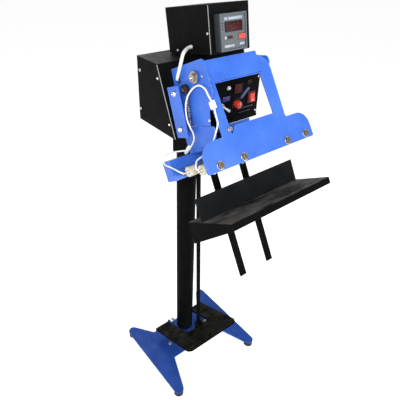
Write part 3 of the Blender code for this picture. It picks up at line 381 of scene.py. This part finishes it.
def rounded_slab(width, depth, thickness, radius=0.002, bevel=0.0006, steps=4):
    """A flat slab with round corners, from local Z = 0 up, with its upper edge eased."""
    radius = min(radius, width / 2 - 1e-5, depth / 2 - 1e-5)
    bevel = min(bevel, thickness * 0.45)
    shape = bmesh.new()
    outline = []
    for quarter, (sx, sy) in enumerate(((1, 1), (-1, 1), (-1, -1), (1, -1))):
        for k in range(steps + 1):
            turn = math.radians(90 * quarter + 90 * k / steps)
            centre = (sx * (width / 2 - radius), sy * (depth / 2 - radius))
            outline.append((*centre, math.cos(turn), math.sin(turn)))
    rings = []
    eased = ((thickness - bevel, 0.0), (thickness - 0.3 * bevel, 0.3 * bevel), (thickness, bevel))
    for height, inset in ((0.0, 0.0), *eased):
        rings.append([shape.verts.new((x + (radius - inset) * c, y + (radius - inset) * s, height))
                      for x, y, c, s in outline])
    count = len(outline)
    for low, high in zip(rings, rings[1:]):
        for k in range(count):
            shape.faces.new((low[k], low[(k + 1) % count], high[(k + 1) % count], high[k]))
    shape.faces.new(rings[-1])
    shape.faces.new(list(reversed(rings[0])))
    return shape


def tube(name, points, radius, finish, body=None):
    """A round tube along the points, as a mesh with closed ends."""
    curve = bpy.data.curves.new(name, "CURVE")
    curve.dimensions = "3D"
    curve.bevel_depth = radius
    curve.bevel_resolution = 3
    curve.use_fill_caps = True
    spline = curve.splines.new("POLY")
    spline.points.add(len(points) - 1)
    for point, here in zip(spline.points, points):
        point.co = (*here, 1.0)
    guide = bpy.data.objects.new(name + "_path", curve)
    bpy.context.scene.collection.objects.link(guide)
    bpy.context.view_layer.update()
    drawn = bpy.data.meshes.new_from_object(guide.evaluated_get(bpy.context.evaluated_depsgraph_get()))
    bpy.data.objects.remove(guide)
    shape = bmesh.new()
    shape.from_mesh(drawn)
    bmesh.ops.remove_doubles(shape, verts=shape.verts, dist=1e-6)
    mesh = mesh_from(name, shape)
    mesh.materials.clear()
    return finish_piece(name, mesh, finish, body, smooth=60.0)


def smooth_route(stops, step):
    """Points every step along a Catmull-Rom curve through the stops."""
    stops = [Vector(s) for s in stops]
    padded = [2 * stops[0] - stops[1], *stops, 2 * stops[-1] - stops[-2]]
    points = [stops[0]]
    for a, b, c, d in zip(padded, padded[1:], padded[2:], padded[3:]):
        count = max(1, round((c - b).length / step))
        for k in range(1, count + 1):
            t = k / count
            points.append(0.5 * (2 * b + (c - a) * t + (2 * a - 5 * b + 4 * c - d) * t * t
                                 + (3 * b - 3 * c + d - a) * t ** 3))
    return points


# ----------------------------------------------------------------- fasteners
def hex_bolt(name, place, body, across=0.013, washer=0.009, height=0.0055, core=None,
             head_metal="zinc_bright"):
    """A washer, a chamfered hex head and, with a core, what fills the dish in its top."""
    ring = lathe([(0.0, 0.0), (washer, 0.0), (washer, 0.0012), (washer - 0.0006, 0.0017), (0.0, 0.0017)])
    finish_piece(name + "_washer", mesh_from(name, ring), "zinc", body, place)
    r = across / math.sqrt(3)
    head = lathe([(0.0, 0.0017), (r, 0.0017), (r, height), (r * 0.90, height + 0.0009),
                  (r * 0.62, height + 0.0009), (r * 0.56, height + 0.0003), (0.0, height + 0.0003)], 6)
    finish_piece(name, mesh_from(name, head), head_metal, body, place, 20.0)
    if core:
        dish = lathe([(0.0, height + 0.0004), (r * 0.54, height + 0.0004), (r * 0.30, height + 0.0013),
                      (0.0, height + 0.0015)], 20)
        finish_piece(name + "_core", mesh_from(name, dish), core, body, place)


def pan_screw(name, place, body, radius=0.0045, finish="zinc_bright"):
    """A domed screw with a crossed slot cut in it."""
    head = lathe([(0.0, 0.0), (radius, 0.0), (radius, radius * 0.20), (radius * 0.86, radius * 0.42),
                  (radius * 0.55, radius * 0.56), (0.0, radius * 0.60)], 24)
    obj = finish_piece(name, mesh_from(name, head), finish, body, place)
    cutter = bmesh.new()
    for turn in (30, 120):
        made = bmesh.ops.create_cube(cutter, size=1.0)["verts"]
        bmesh.ops.scale(cutter, verts=made, vec=(radius * 1.25, radius * 0.26, radius * 0.8))
        bmesh.ops.rotate(cutter, verts=made, matrix=Matrix.Rotation(math.radians(turn), 3, "Z"))
        bmesh.ops.translate(cutter, verts=made, vec=(0, 0, radius * 0.72))
    mesh = bpy.data.meshes.new(name + "_slot")
    cutter.to_mesh(mesh)
    cutter.free()
    slot = bpy.data.objects.new(name + "_slot", mesh)
    bpy.context.scene.collection.objects.link(slot)
    slot.matrix_world = place
    cut = obj.modifiers.new("slot", "BOOLEAN")
    cut.operation = "DIFFERENCE"
    cut.solver = "EXACT"
    cut.use_self = True
    cut.object = slot
    bpy.context.view_layer.update()
    flat = bpy.data.meshes.new_from_object(obj.evaluated_get(bpy.context.evaluated_depsgraph_get()))
    obj.modifiers.clear()
    obj.data = flat
    bpy.data.objects.remove(slot)


def jaw_fasteners():
    for k, (x, height) in enumerate(((-0.168, 0.015), (-0.080, 0.014), (0.099, 0.014), (0.182, 0.015))):
        hex_bolt(f"panel_bolt_{k}", on_panel(x, height, LIFT) @ TO_FRONT, "front_jaw",
                 across=0.0175, washer=0.0125, height=0.0062, core="tan", head_metal="bolt_metal")
    place = on_panel(-0.098, 0.099, LIFT) @ TO_FRONT
    hex_bolt("arm_bolt_left", place, "front_jaw", 0.010, 0.0065, core="olive")


def head_fasteners():
    for k, (n, d) in enumerate(((-0.078, 0.022), (-0.101, 0.122))):
        place = on_head(FLANGE_X - LIFT, n, d) @ TO_LEFT
        hex_bolt(f"angle_bolt_{k}", place, "stand", 0.012, 0.0085, core="tan")
    pan_screw("cheek_screw_low", on_head(CHEEK_X - LIFT, 0.006, 0.121) @ TO_LEFT, "stand", 0.0045)
    pan_screw("cheek_screw_top", on_head(CHEEK_X - LIFT, 0.027, 0.005) @ TO_LEFT, "stand", 0.0032)
    for side in (-1, 1):
        hex_bolt(f"beam_bolt_{side + 1}", on_head(side * 0.100, -0.1585, 0.200 - LIFT), "stand", 0.011, 0.008)
    for k, x in enumerate(GUIDE_X):
        place = on_head(x, -0.1555 + LIFT, 0.283) @ TO_FRONT
        hex_bolt(f"guide_bolt_{k}", place, "stand", 0.010, 0.0075)


def cut_sheet(corners, thickness, bevel=0.0006):
    """A sheet of any convex outline in XY, from local Z = 0 up, with eased edges and corners."""
    shape = bmesh.new()
    face = shape.faces.new([shape.verts.new((x, y, 0.0)) for x, y in corners])
    lifted = bmesh.ops.extrude_face_region(shape, geom=[face])["geom"]
    moved = [g for g in lifted if isinstance(g, bmesh.types.BMVert)]
    bmesh.ops.translate(shape, verts=moved, vec=(0, 0, thickness))
    upright = [e for e in shape.edges if abs(e.verts[0].co.z - e.verts[1].co.z) > thickness / 2]
    bmesh.ops.bevel(shape, geom=upright, offset=0.002, segments=3, affect="EDGES")
    rim = [e for e in shape.edges if all(v.co.z > thickness * 0.9 for v in e.verts)]
    bmesh.ops.bevel(shape, geom=rim, offset=bevel, segments=2, affect="EDGES")
    return shape


def doubler_plate():
    """The small plate that is screwed on the cheek's lower half, drawn flat, as corners of (-d, -n)."""
    corners = [(-0.129, 0.052), (-0.188, 0.063), (-0.182, 0.000), (-0.166, -0.018), (-0.139, -0.019)]
    place = HEAD @ at(CHEEK_X - LIFT, 0, 0) @ TO_LEFT
    mesh = mesh_from("doubler_plate", cut_sheet(corners, 0.0030))
    finish_piece("doubler_plate", mesh, "blue", "stand", place)


def box_screws():
    sides = ((-1, "left", TO_LEFT), (1, "right", TO_RIGHT))
    for k, (y, z) in enumerate(((0.018, 1.360), (0.024, 1.235), (-0.079, 1.360), (-0.137, 1.236))):
        for side, word, turn in sides:
            place = at(side * (BOX_HALF + LIFT), COLUMN_Y + y, z) @ turn
            pan_screw(f"box_screw_{word}_{k}", place, "stand")
    for k, (y, z) in enumerate(((0.0094, 0.055), (0.156, 0.008))):
        for side, word, turn in sides:
            place = CASE @ at(side * (CASE_HALF + LIFT), y, z) @ turn
            pan_screw(f"case_screw_{word}_{k}", place, "stand", 0.0040)
    for k, (x, z) in enumerate(((-0.155, 1.212), (0.155, 1.212), (-0.155, 1.385), (0.155, 1.385))):
        pan_screw(f"back_screw_{k}", at(x, BOX_BACK_Y + LIFT, z) @ TO_BACK, "stand")


def strip(name, start, end, half, thickness):
    """A thin pale strip from start to end, lying in the plane of the box's side: a painted highlight along an
    edge.
    """
    start, end = Vector(start), Vector(end)
    along = (end - start).normalized()
    side = Vector((1, 0, 0))
    other = along.cross(side)
    turn = Matrix((side, other, along)).transposed().to_4x4()
    slab = rounded_slab(2 * thickness, 2 * half, (end - start).length, min(thickness, half) * 0.9, 0.0006)
    finish_piece(name, mesh_from(name, slab), "edge", "stand", Matrix.Translation(start) @ turn)


def painted_edge_highlights():
    """Pale grey strips along the edges of the box's covers and the controller's case: a painted highlight
    where these edges catch the light.
    """
    for side in (-1, 1):
        # each strip is a painted highlight along an edge, not a part of the box
        x = side * (BOX_HALF + 0.0005)
        low, high = (x, COLUMN_Y - 0.1660, 1.1990), (x, COLUMN_Y - 0.0765, 1.3985)
        strip(f"cover_edge_highlight_{side + 1}", low, high, 0.0016, 0.0008)
        low, high = (CASE @ Vector((side * (CASE_HALF + 0.0005), 0.0012, z)) for z in (0.002, 0.1245))
        strip(f"case_edge_highlight_{side + 1}", low, high, 0.0012, 0.0006)


def back_vents():
    """Pressed louvres on the control box's back."""
    for k in range(7):
        slab = rounded_slab(0.090, 0.0050, 0.0028, 0.0024, 0.0020)
        place = at(0.0, BOX_BACK_Y + LIFT, 1.262 + k * 0.012) @ TO_BACK
        finish_piece(f"louvre_{k}", mesh_from("louvre", slab), "black_trim", "stand", place)


# ------------------------------------------------------------- control panel
def on_control(x, z, out=LIFT):
    """On the control panel."""
    return at(x, PANEL_Y - out, z) @ TO_FRONT


def slab_piece(name, place, size, radius, finish, body="stand", bevel=0.0006):
    finish_piece(name, mesh_from(name, rounded_slab(*size, radius, bevel)), finish, body, place)


def frame_ring(name, place, outer, inner, height, finish):
    """A rectangular bezel with an open middle, on the stand."""
    shape = bmesh.new()
    rings = []
    for (w, h), z in ((outer, 0.0), (outer, height * 0.7), ((outer[0] - 0.0012, outer[1] - 0.0012), height),
                      ((inner[0] + 0.001, inner[1] + 0.001), height), (inner, height * 0.6), (inner, 0.0)):
        rings.append([shape.verts.new((sx * w / 2, sy * h / 2, z))
                      for sx, sy in ((1, 1), (-1, 1), (-1, -1), (1, -1))])
    for low, high in zip(rings, [*rings[1:], rings[0]]):
        for k in range(4):
            shape.faces.new((low[k], low[(k + 1) % 4], high[(k + 1) % 4], high[k]))
    finish_piece(name, mesh_from(name, shape), finish, "stand", place)


def panel_details():
    """Screws, lamps, the meter and plain bars where the panel's words would be."""
    for name, x, z in (("top", 0.161, 1.332), ("low", 0.161, 1.217), ("left", -0.070, 1.217)):
        pan_screw(f"panel_screw_{name}", on_control(x, z), "stand", 0.0042)
    lamp = lathe([(0.0, 0.0), (0.0066, 0.0), (0.0066, 0.0015), (0.0054, 0.0022), (0.0052, 0.0040),
                  (0.0038, 0.0058), (0.0020, 0.0067), (0.0, 0.0070)])
    finish_piece("panel_lamp", mesh_from("panel_lamp", lamp), "lamp_white", "stand", on_control(*LAMP_AT))
    meter, rocker = on_control(*METER_AT), on_control(*ROCKER_AT)
    slab_piece("meter_window", meter, (0.026, 0.024, 0.0030), 0.0015, "meter_red")
    frame_ring("meter_bezel", meter, (0.032, 0.030), (0.027, 0.025), 0.0042, "black_trim")
    slab_piece("dark_lamp", on_control(*DARK_LAMP_AT), (0.018, 0.012, 0.0022), 0.002, "digit_off")
    frame_ring("rocker_bezel", rocker, (0.031, 0.038), (0.0215, 0.0300), 0.0030, "black_trim")
    slab_piece("label_violet", on_control(0.027, 1.283), (0.030, 0.016, 0.0008), 0.0020, "label_violet")
    band = on_control(0.1075, 1.287) @ Matrix.Rotation(math.radians(40.6), 4, "Z")
    slab_piece("label_band", band, (0.046, 0.0110, 0.0006), 0.0050, "label_band")
    slab_piece("label_line", on_control(0.115, 1.238), (0.070, 0.003, 0.0006), 0.0012, "label_faint")
    slab_piece("label_line_low", on_control(0.112, 1.224), (0.056, 0.002, 0.0006), 0.0009, "label_faint")
    collar = lathe([(0.0, 0.0), (0.0085, 0.0), (0.0085, 0.0020), (0.0078, 0.0026), (0.0062, 0.0028),
                    (0.0058, 0.0046), (0.0050, 0.0046), (0.0050, 0.0010), (0.0, 0.0010)], 24)
    finish_piece("toggle_collar", mesh_from("toggle_collar", collar), "zinc_bright", "stand",
                 on_control(*TOGGLE_AT, 0.0))


def knob_details():
    """Grips round the timer's knob, its pointer and the dial's marks."""
    grips = bmesh.new()
    for k in range(18):
        made = bmesh.ops.create_cone(grips, cap_ends=True, segments=8, radius1=0.0011, radius2=0.0008,
                                     depth=0.0125)
        place = Matrix.Rotation(2 * math.pi * k / 18, 4, "Z") @ at(0.0118, 0, 0.0095)
        bmesh.ops.transform(grips, matrix=place, verts=made["verts"])
    knob = on_control(*KNOB_AT, 0.0003)
    finish_piece("knob_grips", mesh_from("knob_grips", grips), "red", "knob", knob)
    pointer = knob @ at(0, 0.0048, 0.0180)
    slab_piece("knob_pointer", pointer, (0.0018, 0.0075, 0.0010), 0.001, "lamp_white", "knob")
    for k in range(9):
        mark = knob @ Matrix.Rotation(math.radians(-120 + 30 * k), 4, "Z") @ at(0, 0.0170, 0)
        slab_piece(f"dial_mark_{k}", mark, (0.0010, 0.0040, 0.0005), 0.0004, "label_grey", bevel=0.0001)


def rocker_details():
    """A raised bar on the rocker's lower half, for on."""
    x, z = ROCKER_AT
    face = at(x, PANEL_Y - 0.0033 - 0.0078, z - 0.0075) @ TO_FRONT
    place = face @ Matrix.Rotation(math.radians(-15), 4, "X")
    slab_piece("rocker_mark", place, (0.0018, 0.0070, 0.0010), 0.0008, "lamp_white", "rocker", 0.0002)


# ---------------------------------------------------- temperature controller
def on_face(x, z, out=0.0):
    """On the controller's face, from its middle."""
    return on_case(FACE_X + x, FACE_Z + z, FACE_OUT + out) @ TO_FRONT


def segment_digit(name, x, z, lit):
    """One seven-segment figure; lit holds the segments that glow."""
    spots = {"a": (0, 0.0066), "g": (0, 0), "d": (0, -0.0066), "f": (-0.0034, 0.0033), "b": (0.0034, 0.0033),
             "e": (-0.0034, -0.0033), "c": (0.0034, -0.0033)}
    for key, (dx, dz) in spots.items():
        size = (0.0014, 0.0054, 0.0006) if dx else (0.0054, 0.0014, 0.0006)
        finish = "digit_on" if key in lit else "digit_off"
        slab_piece(f"{name}_{key}", on_face(x + dx, z + dz, 0.0034), size, 0.0006, finish, bevel=0.0001)


def controller_face():
    """The bezel, the display, plain strips for the words, the button's ring, soft keys and lamps."""
    frame_ring("controller_bezel", on_face(0, 0), (0.0958, 0.0958), (0.0860, 0.0860), 0.0035, "face_grey")
    slab_piece("controller_window", on_face(0.001, 0.014), (0.062, 0.026, 0.0030), 0.0015, "display_red")
    for k, lit in enumerate(("bcfgd", "abcdef", "abcdef")):
        segment_digit(f"digit_{k}", 0.014 * (k - 1), 0.014, lit)
    for name, x, z, width, height in (("strip_top_left", -0.026, 0.0345, 0.011, 0.0075),
                                      ("strip_top_right", 0.008, 0.0345, 0.050, 0.0075),
                                      ("strip_low", -0.017, -0.035, 0.036, 0.0070),
                                      ("strip_low_right", 0.030, -0.033, 0.018, 0.0070)):
        slab_piece(name, on_face(x, z), (width, height, 0.0014), 0.001, "label_white")
    frame_ring("button_ring", on_face(*BUTTON_AT), (0.0300, 0.0170), (0.0268, 0.0138), 0.0010, "bezel")
    for k, finish in enumerate(("label_white", "knob_black", "meter_red")):
        button = rounded_slab(0.0080, 0.0080, 0.0022, 0.0015, 0.0008)
        place = on_face(-0.030 + 0.0105 * k, -0.013)
        finish_piece(f"soft_key_{k}", mesh_from("soft_key", button), finish, "stand", place)
    for k, finish in enumerate(("digit_off", "digit_on", "digit_off")):
        led = lathe([(0.0, 0.0), (0.0016, 0.0), (0.0016, 0.0006), (0.0010, 0.0014), (0.0, 0.0017)], 16)
        place = on_face(-0.0385, 0.010 + 0.007 * k, 0.0002)
        finish_piece(f"led_{k}", mesh_from("led", led), finish, "stand", place)


# --------------------------------------------------------------------- leads
def lead_stops():
    """The leads' routes as stops of (X, n, d) on the head."""
    supply = [(-0.0750, -0.0639, -0.0932), (-0.0920, -0.0610, -0.0900), (-0.1300, -0.0360, -0.0719),
              (-0.1450, -0.0420, -0.0450), (-0.1485, -0.0618, -0.0234), (-0.1460, -0.0750, -0.0145)]
    front = [(-0.1475, -0.1134, 0.1843), (-0.1475, -0.0792, 0.1613), (-0.1500, -0.0701, 0.1411),
             (-0.1600, -0.0613, 0.1224), (-0.1590, -0.0660, 0.0970), (-0.1580, -0.0553, 0.0646),
             (-0.1580, -0.0316, 0.0410), (-0.1500, -0.0080, 0.0262), (-0.1450, 0.0141, 0.0251),
             (-0.1435, 0.0332, 0.0394), (-0.1435, 0.0385, 0.0567), (-0.1430, 0.0474, 0.0853),
             (-0.1430, 0.0464, 0.1069), (-0.1430, 0.0444, 0.1341), (-0.1430, 0.0280, 0.1539),
             (-0.1430, 0.0025, 0.1782), (-0.1650, -0.0040, 0.1990), (-0.1900, 0.0037, 0.2065),
             (-0.2100, 0.0024, 0.2118), (-0.2250, 0.0100, 0.2230), (-0.2290, 0.0150, 0.2350),
             (-0.2220, 0.0150, 0.2404), (-0.2080, 0.0150, 0.2407)]
    rear = [(-0.1500, -0.1190, 0.1843), (-0.1550, -0.1253, 0.1854), (-0.1650, -0.1318, 0.1834),
            (-0.1850, -0.1392, 0.1800), (-0.2050, -0.1424, 0.1801), (-0.2230, -0.1400, 0.1815),
            (-0.2305, -0.1397, 0.1883), (-0.2310, -0.1415, 0.1972), (-0.2310, -0.1380, 0.2067),
            (-0.2310, -0.1048, 0.2188), (-0.2310, -0.0720, 0.2330), (-0.2230, -0.0633, 0.2405),
            (-0.2020, -0.0633, 0.2413)]
    return supply, front, rear


def leads():
    supply, front, rear = [smooth_route([HEAD @ Vector((x, -n, -d)) for x, n, d in stops], 0.006)
                           for stops in lead_stops()]
    cable = tube("supply_cable_sleeve", supply, 0.0050, "sleeving", "stand")
    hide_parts("supply_cable")
    lead = tube("front_lead_sleeve", front, 0.0024, "sleeving")
    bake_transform(lead)
    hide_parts("front_lead")
    back = tube("rear_lead_sleeve", rear, 0.0024, "sleeving", "stand")
    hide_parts("rear_lead")


def return_spring():
    """The coil from its anchor on the cheek up to the knob on the lever, with a short hook at each end."""
    top, foot = (HEAD @ Vector((-0.1475, -n, -d)) for n, d in ((-0.050, 0.037), (-0.073, 0.114)))
    along, side = foot - top, Vector((1, 0, 0))
    front = along.normalized().cross(side)
    turns, per_turn, radius = 17, 14, 0.0058
    coil = []
    for k in range(turns * per_turn + 1):
        turn = 2 * math.pi * k / per_turn
        round_it = math.cos(turn) * side + math.sin(turn) * front
        coil.append(top + along * k / (turns * per_turn) + radius * round_it)
    points = [top - along * 0.055, top - along * 0.015, *coil, foot + along * 0.015, foot + along * 0.055]
    spring = tube("return_spring_coil", points, 0.0010, "steel")
    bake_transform(spring)
    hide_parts("return_spring")


def lead_fittings():
    """The tie block, the sleeve where the leads part, grommets, ferrules and the knob's insert."""
    block = rounded_slab(0.0200, 0.0215, 0.0070, 0.0020, 0.0014)
    place = on_head(-0.1400, 0.0455, 0.0850) @ TO_LEFT @ Matrix.Rotation(math.radians(97), 4, "Z")
    finish_piece("tie_block", mesh_from("tie_block", block), "cream", "front_jaw", place)
    joint = lathe([(0.0, -0.0190), (0.0040, -0.0190), (0.0058, -0.0160), (0.0062, -0.0050), (0.0052, 0.0),
                   (0.0064, 0.0040), (0.0060, 0.0150), (0.0038, 0.0180), (0.0, 0.0180)], 20)
    place = on_head(-0.1525, -0.1190, 0.1848) @ Matrix.Rotation(math.radians(62), 4, "X")
    finish_piece("lead_joint", mesh_from("lead_joint", joint), "sleeving", "stand", place)
    for name, place in (("cheek_grommet", on_head(CHEEK_X - LIFT, -0.0810, -0.0110)),
                        ("case_grommet", on_head(-CASE_HALF - LIFT, -0.0639, -0.0932))):
        ring = lathe([(0.0052, 0.0), (0.0074, 0.0), (0.0076, 0.0014), (0.0068, 0.0022), (0.0056, 0.0022),
                      (0.0052, 0.0)], 28)
        finish_piece(name, mesh_from(name, ring), "black_trim", "stand", place @ TO_LEFT)
    insert = lathe([(0.0, 0.0), (0.0062, 0.0), (0.0062, 0.0010), (0.0045, 0.0018), (0.0038, 0.0009),
                    (0.0, 0.0009)], 20)
    finish_piece("knob_insert", mesh_from("knob_insert", insert), "brown_metal", "front_jaw",
                 JAW @ at(-0.157 - LIFT, 0.048, -0.015) @ TO_LEFT)
    for name, x, n, body in (("rear_ferrule", -0.2160, -0.0633, "stand"),
                             ("front_ferrule", -0.2210, 0.0150, "front_jaw")):
        sleeve = lathe([(0.0025, 0.0), (0.0040, 0.0), (0.0040, 0.0090), (0.0034, 0.0110), (0.0025, 0.0110),
                        (0.0025, 0.0)], 20)
        place = on_head(x, n, 0.2410) @ TO_LEFT
        finish_piece(name, mesh_from(name, sleeve), "zinc_bright", body, place)


# ---------------------------------------------------------------------- rest
def sealing_strips():
    """The brown non-stick tape over each heater bar's working face."""
    thickness = 0.0024
    for name, frame_of, n, body in (("rear_tape", HEAD, -0.0520 + LIFT, "stand"),
                                    ("front_tape", JAW, -0.0445 - thickness - LIFT, "front_jaw")):
        slab = rounded_slab(0.362, 0.019, thickness, 0.002, 0.0008)
        finish_piece(name, mesh_from(name, slab), "tape", body, frame_of @ at(0, -n, -0.24125) @ TO_FRONT)


def base_details():
    """A bolt through each end of the crossbar, and the weld round the column's socket."""
    for side in (-1, 1):
        place = at(side * 0.109, COLUMN_Y - 0.029, 0.030 + LIFT)
        hex_bolt(f"base_bolt_{side + 1}", place, "stand", 0.014, 0.010)
    bead = []
    for k in range(97):
        turn = 2 * math.pi * k / 96
        radius = 0.0580 + 0.0004 * math.sin(17 * turn)
        bead.append((radius * math.cos(turn), COLUMN_Y + radius * math.sin(turn), 0.0312))
    tube("socket_weld", bead, 0.0015, "base_blue", "stand")


def tray_details():
    for k, x in enumerate((-0.0765, -0.0395, 0.0495, 0.0865)):
        hex_bolt(f"clamp_nut_{k}", HEAD @ at(x, 0.1734, -0.418) @ TO_BACK, "tray", 0.010, 0.0070)
    for k, x in enumerate((-0.160, -0.063, 0.063, 0.160)):
        place = HEAD @ at(x, 0.0760 + LIFT + 0.0001, -0.3560) @ TO_BACK
        hex_bolt(f"back_plate_bolt_{k}", place, "tray", 0.009, 0.0065)


def pedal_details():
    """The rubbed ridges that are pressed into the tread."""
    for k in range(5):
        slab = rounded_slab(0.205, 0.0050, 0.0014, 0.0024, 0.0012)
        place = PEDAL @ at(0, -0.205 - 0.014 * k, 0.005 + LIFT)
        finish_piece(f"tread_ridge_{k}", mesh_from("tread_ridge", slab), "pedal_black", "pedal", place)


MATERIAL_OF = {
    "blue": ("rear_plate rear_jaw_beam left_cheek side_channel right_pivot_bracket jaw_frame "
             "cross_member jaw_sleeve front_jaw_channel spring_lever link_lug"),
    "base_blue": ("foot_plate_left foot_plate_right base_crossbar column_socket "
                  "pedal_pivot_left pedal_pivot_right"),
    "rubber": "rubber_foot_front_left rubber_foot_front_right rubber_foot_rear_left rubber_foot_rear_right",
    "column_black": "column column_head_bracket pull_rod guide_bar_left guide_bar_right",
    "pedal_black": "pedal_plate pedal_clevis",
    "tray_black": "tray_shelf tray_clamp",
    "plate_black": "tray_back_plate",
    "box_black": "control_box controller_case case_bracket",
    "panel_black": "control_panel",
    "bezel": "temperature_controller",
    "knob_black": "spring_knob",
    "red": "rocker_switch timer_knob controller_button",
    "lamp_white": "toggle_lever",
    "zinc": "socket_clamp_screw crank_pin spring_anchor pivot_shaft pivot_nut",
    "dark_steel": "clevis_pin",
    "steel": "bell_crank draw_link rear_jaw_carrier return_spring transformer",
    "aluminium": "rear_heater_bar front_heater_bar",
    "ceramic": "rear_terminal front_terminal",
    "sleeving": "supply_cable front_lead rear_lead",
}


def dress_cad():
    for finish, names in MATERIAL_OF.items():
        for name in names.split():
            obj = NODES[name]
            obj.data.materials.clear()
            obj.data.materials.append(MATERIALS[finish])


def camera():
    lens = bpy.data.cameras.new("camera")
    lens.lens = CAMERA_LENS
    lens.sensor_width = 36.0
    lens.clip_end = 200.0
    obj = bpy.data.objects.new("camera", lens)
    bpy.context.scene.collection.objects.link(obj)
    obj.location = CAMERA_AT
    obj.rotation_euler = [math.radians(a) for a in CAMERA_TURN]
    bpy.context.scene.camera = obj


def area_light(name, where, target, size, power, colour=(1, 1, 1)):
    light = bpy.data.lights.new(name, "AREA")
    light.shape = "DISK"
    light.size = size
    light.energy = power
    light.color = colour
    obj = bpy.data.objects.new(name, light)
    bpy.context.scene.collection.objects.link(obj)
    obj.location = where
    obj.rotation_euler = (Vector(target) - Vector(where)).to_track_quat("-Z", "Y").to_euler()


def studio():
    shape = bmesh.new()
    bmesh.ops.create_circle(shape, cap_ends=True, segments=64, radius=60.0)
    mesh = mesh_from("studio_floor", shape)
    floor = bpy.data.objects.new("studio_floor", mesh)
    bpy.context.scene.collection.objects.link(floor)
    floor.location.z = -0.0005
    pale = Finish("studio_pale", (0.93, 0.93, 0.93), 0.85)
    pale.shader.inputs["Emission Color"].default_value = (1, 1, 1, 1)
    pale.shader.inputs["Emission Strength"].default_value = 0.55
    mesh.materials.append(pale.material)
    world = bpy.data.worlds.new("studio")
    world.use_nodes = True
    world.node_tree.nodes["Background"].inputs["Color"].default_value = (1, 1, 1, 1)
    world.node_tree.nodes["Background"].inputs["Strength"].default_value = 0.45
    bpy.context.scene.world = world
    bpy.context.scene.view_settings.view_transform = "Standard"
    head = (0.0, -0.05, 1.25)
    area_light("key", (-1.6, -1.7, 2.5), head, 1.0, 62.0)
    area_light("front_fill", (0.9, -2.2, 1.7), head, 1.4, 26.0)
    area_light("back_rim", (0.6, 2.0, 2.4), head, 1.2, 22.0)


MATERIALS = {
    "blue": blue_paint(),
    "base_blue": base_blue_paint(),
    "rubber": rubber(),
    "ceramic": ceramic(),
    "sleeving": sleeving(),
    "column_black": black_paint("sealer_column_black", 0.2),
    "pedal_black": black_paint("sealer_pedal_black", 0.26, (0.080, 0.084, 0.060), (0.0026, 0.0028, 0.0022)),
    "tray_black": black_paint("sealer_tray_black", 1.0, (0.190, 0.182, 0.165), (0.0032, 0.0034, 0.0034),
                              (0.40, 1.0, 1.0)),
    "plate_black": black_paint("sealer_plate_black", 0.5, base=(0.0080, 0.0088, 0.0094)),
    "box_black": black_paint("sealer_box_black", 0.22, shine=0.035),
    "panel_black": black_paint("sealer_panel_black", 0.15, shine=0.020),
    "black_trim": plastic("sealer_trim_black", (0.012, 0.012, 0.013), 0.42),
    "knob_black": plastic("sealer_knob_black", (0.005, 0.004, 0.004), 0.45),
    "bezel": controller_plastic(),
    "face_grey": plastic("sealer_face_grey", (0.075, 0.090, 0.098), 0.42),
    "red": plastic("sealer_red", (0.62, 0.040, 0.020), 0.26, Coat_Weight=0.4),
    "lamp_white": plastic("sealer_white", (0.82, 0.80, 0.74), 0.30),
    "cream": plastic("sealer_cream", (0.86, 0.84, 0.72), 0.42),
    "label_white": plastic("sealer_label_white", (0.29, 0.34, 0.41), 0.40),
    "label_grey": plastic("sealer_label_grey", (0.12, 0.16, 0.24), 0.40),
    "label_band": plastic("sealer_label_band", (0.045, 0.075, 0.17), 0.40),
    "label_faint": plastic("sealer_label_faint", (0.030, 0.036, 0.075), 0.45),
    "label_violet": plastic("sealer_label_violet", (0.045, 0.035, 0.17), 0.35),
    # edge: flat pale grey for the strips along the box's and case's edges, a painted highlight
    "edge": plastic("sealer_painted_edge_highlight", (0.30, 0.30, 0.30), 0.40),
    "tape": plastic("sealer_tape", (0.20, 0.11, 0.05), 0.50),
    "tan": plastic("sealer_bolt_wax", (0.10, 0.065, 0.045), 0.55),
    "olive": plastic("sealer_bolt_olive", (0.10, 0.10, 0.05), 0.45),
    "zinc": metal("sealer_zinc", (0.62, 0.57, 0.46), (0.36, 0.30, 0.20), 0.34),
    "zinc_bright": metal("sealer_zinc_bright", (0.82, 0.81, 0.78), (0.55, 0.50, 0.42), 0.28),
    "dark_steel": metal("sealer_dark_steel", (0.06, 0.06, 0.06), (0.03, 0.03, 0.03), 0.45),
    "bolt_metal": metal("sealer_bolt_metal", (0.24, 0.23, 0.21), (0.10, 0.09, 0.08), 0.42),
    "brown_metal": metal("sealer_brown_metal", (0.30, 0.14, 0.09), (0.12, 0.06, 0.04), 0.40),
    "steel": metal("sealer_steel", (0.46, 0.46, 0.47), (0.26, 0.24, 0.22), 0.36),
    "aluminium": metal("sealer_aluminium", (0.78, 0.78, 0.79), (0.55, 0.55, 0.56), 0.34, (0.2, 8, 8)),
    "meter_red": glow("sealer_meter_red", (0.6, 0.02, 0.01), 0.04, (0.070, 0.006, 0.006)),
    "display_red": glow("sealer_display_red", (0.5, 0.01, 0.01), 0.03, (0.018, 0.002, 0.003)),
    "digit_on": glow("sealer_digit_on", (0.9, 0.05, 0.05), 0.10, (0.10, 0.008, 0.009)),
    "digit_off": glow("sealer_digit_off", (0.3, 0.01, 0.01), 0.015, (0.020, 0.002, 0.003)),
}

camera()
dress_cad()
leads()
return_spring()
lead_fittings()
jaw_fasteners()
head_fasteners()
doubler_plate()
box_screws()
painted_edge_highlights()
back_vents()
panel_details()
knob_details()
rocker_details()
controller_face()
sealing_strips()
base_details()
tray_details()
pedal_details()
studio()

bpy.context.view_layer.update()
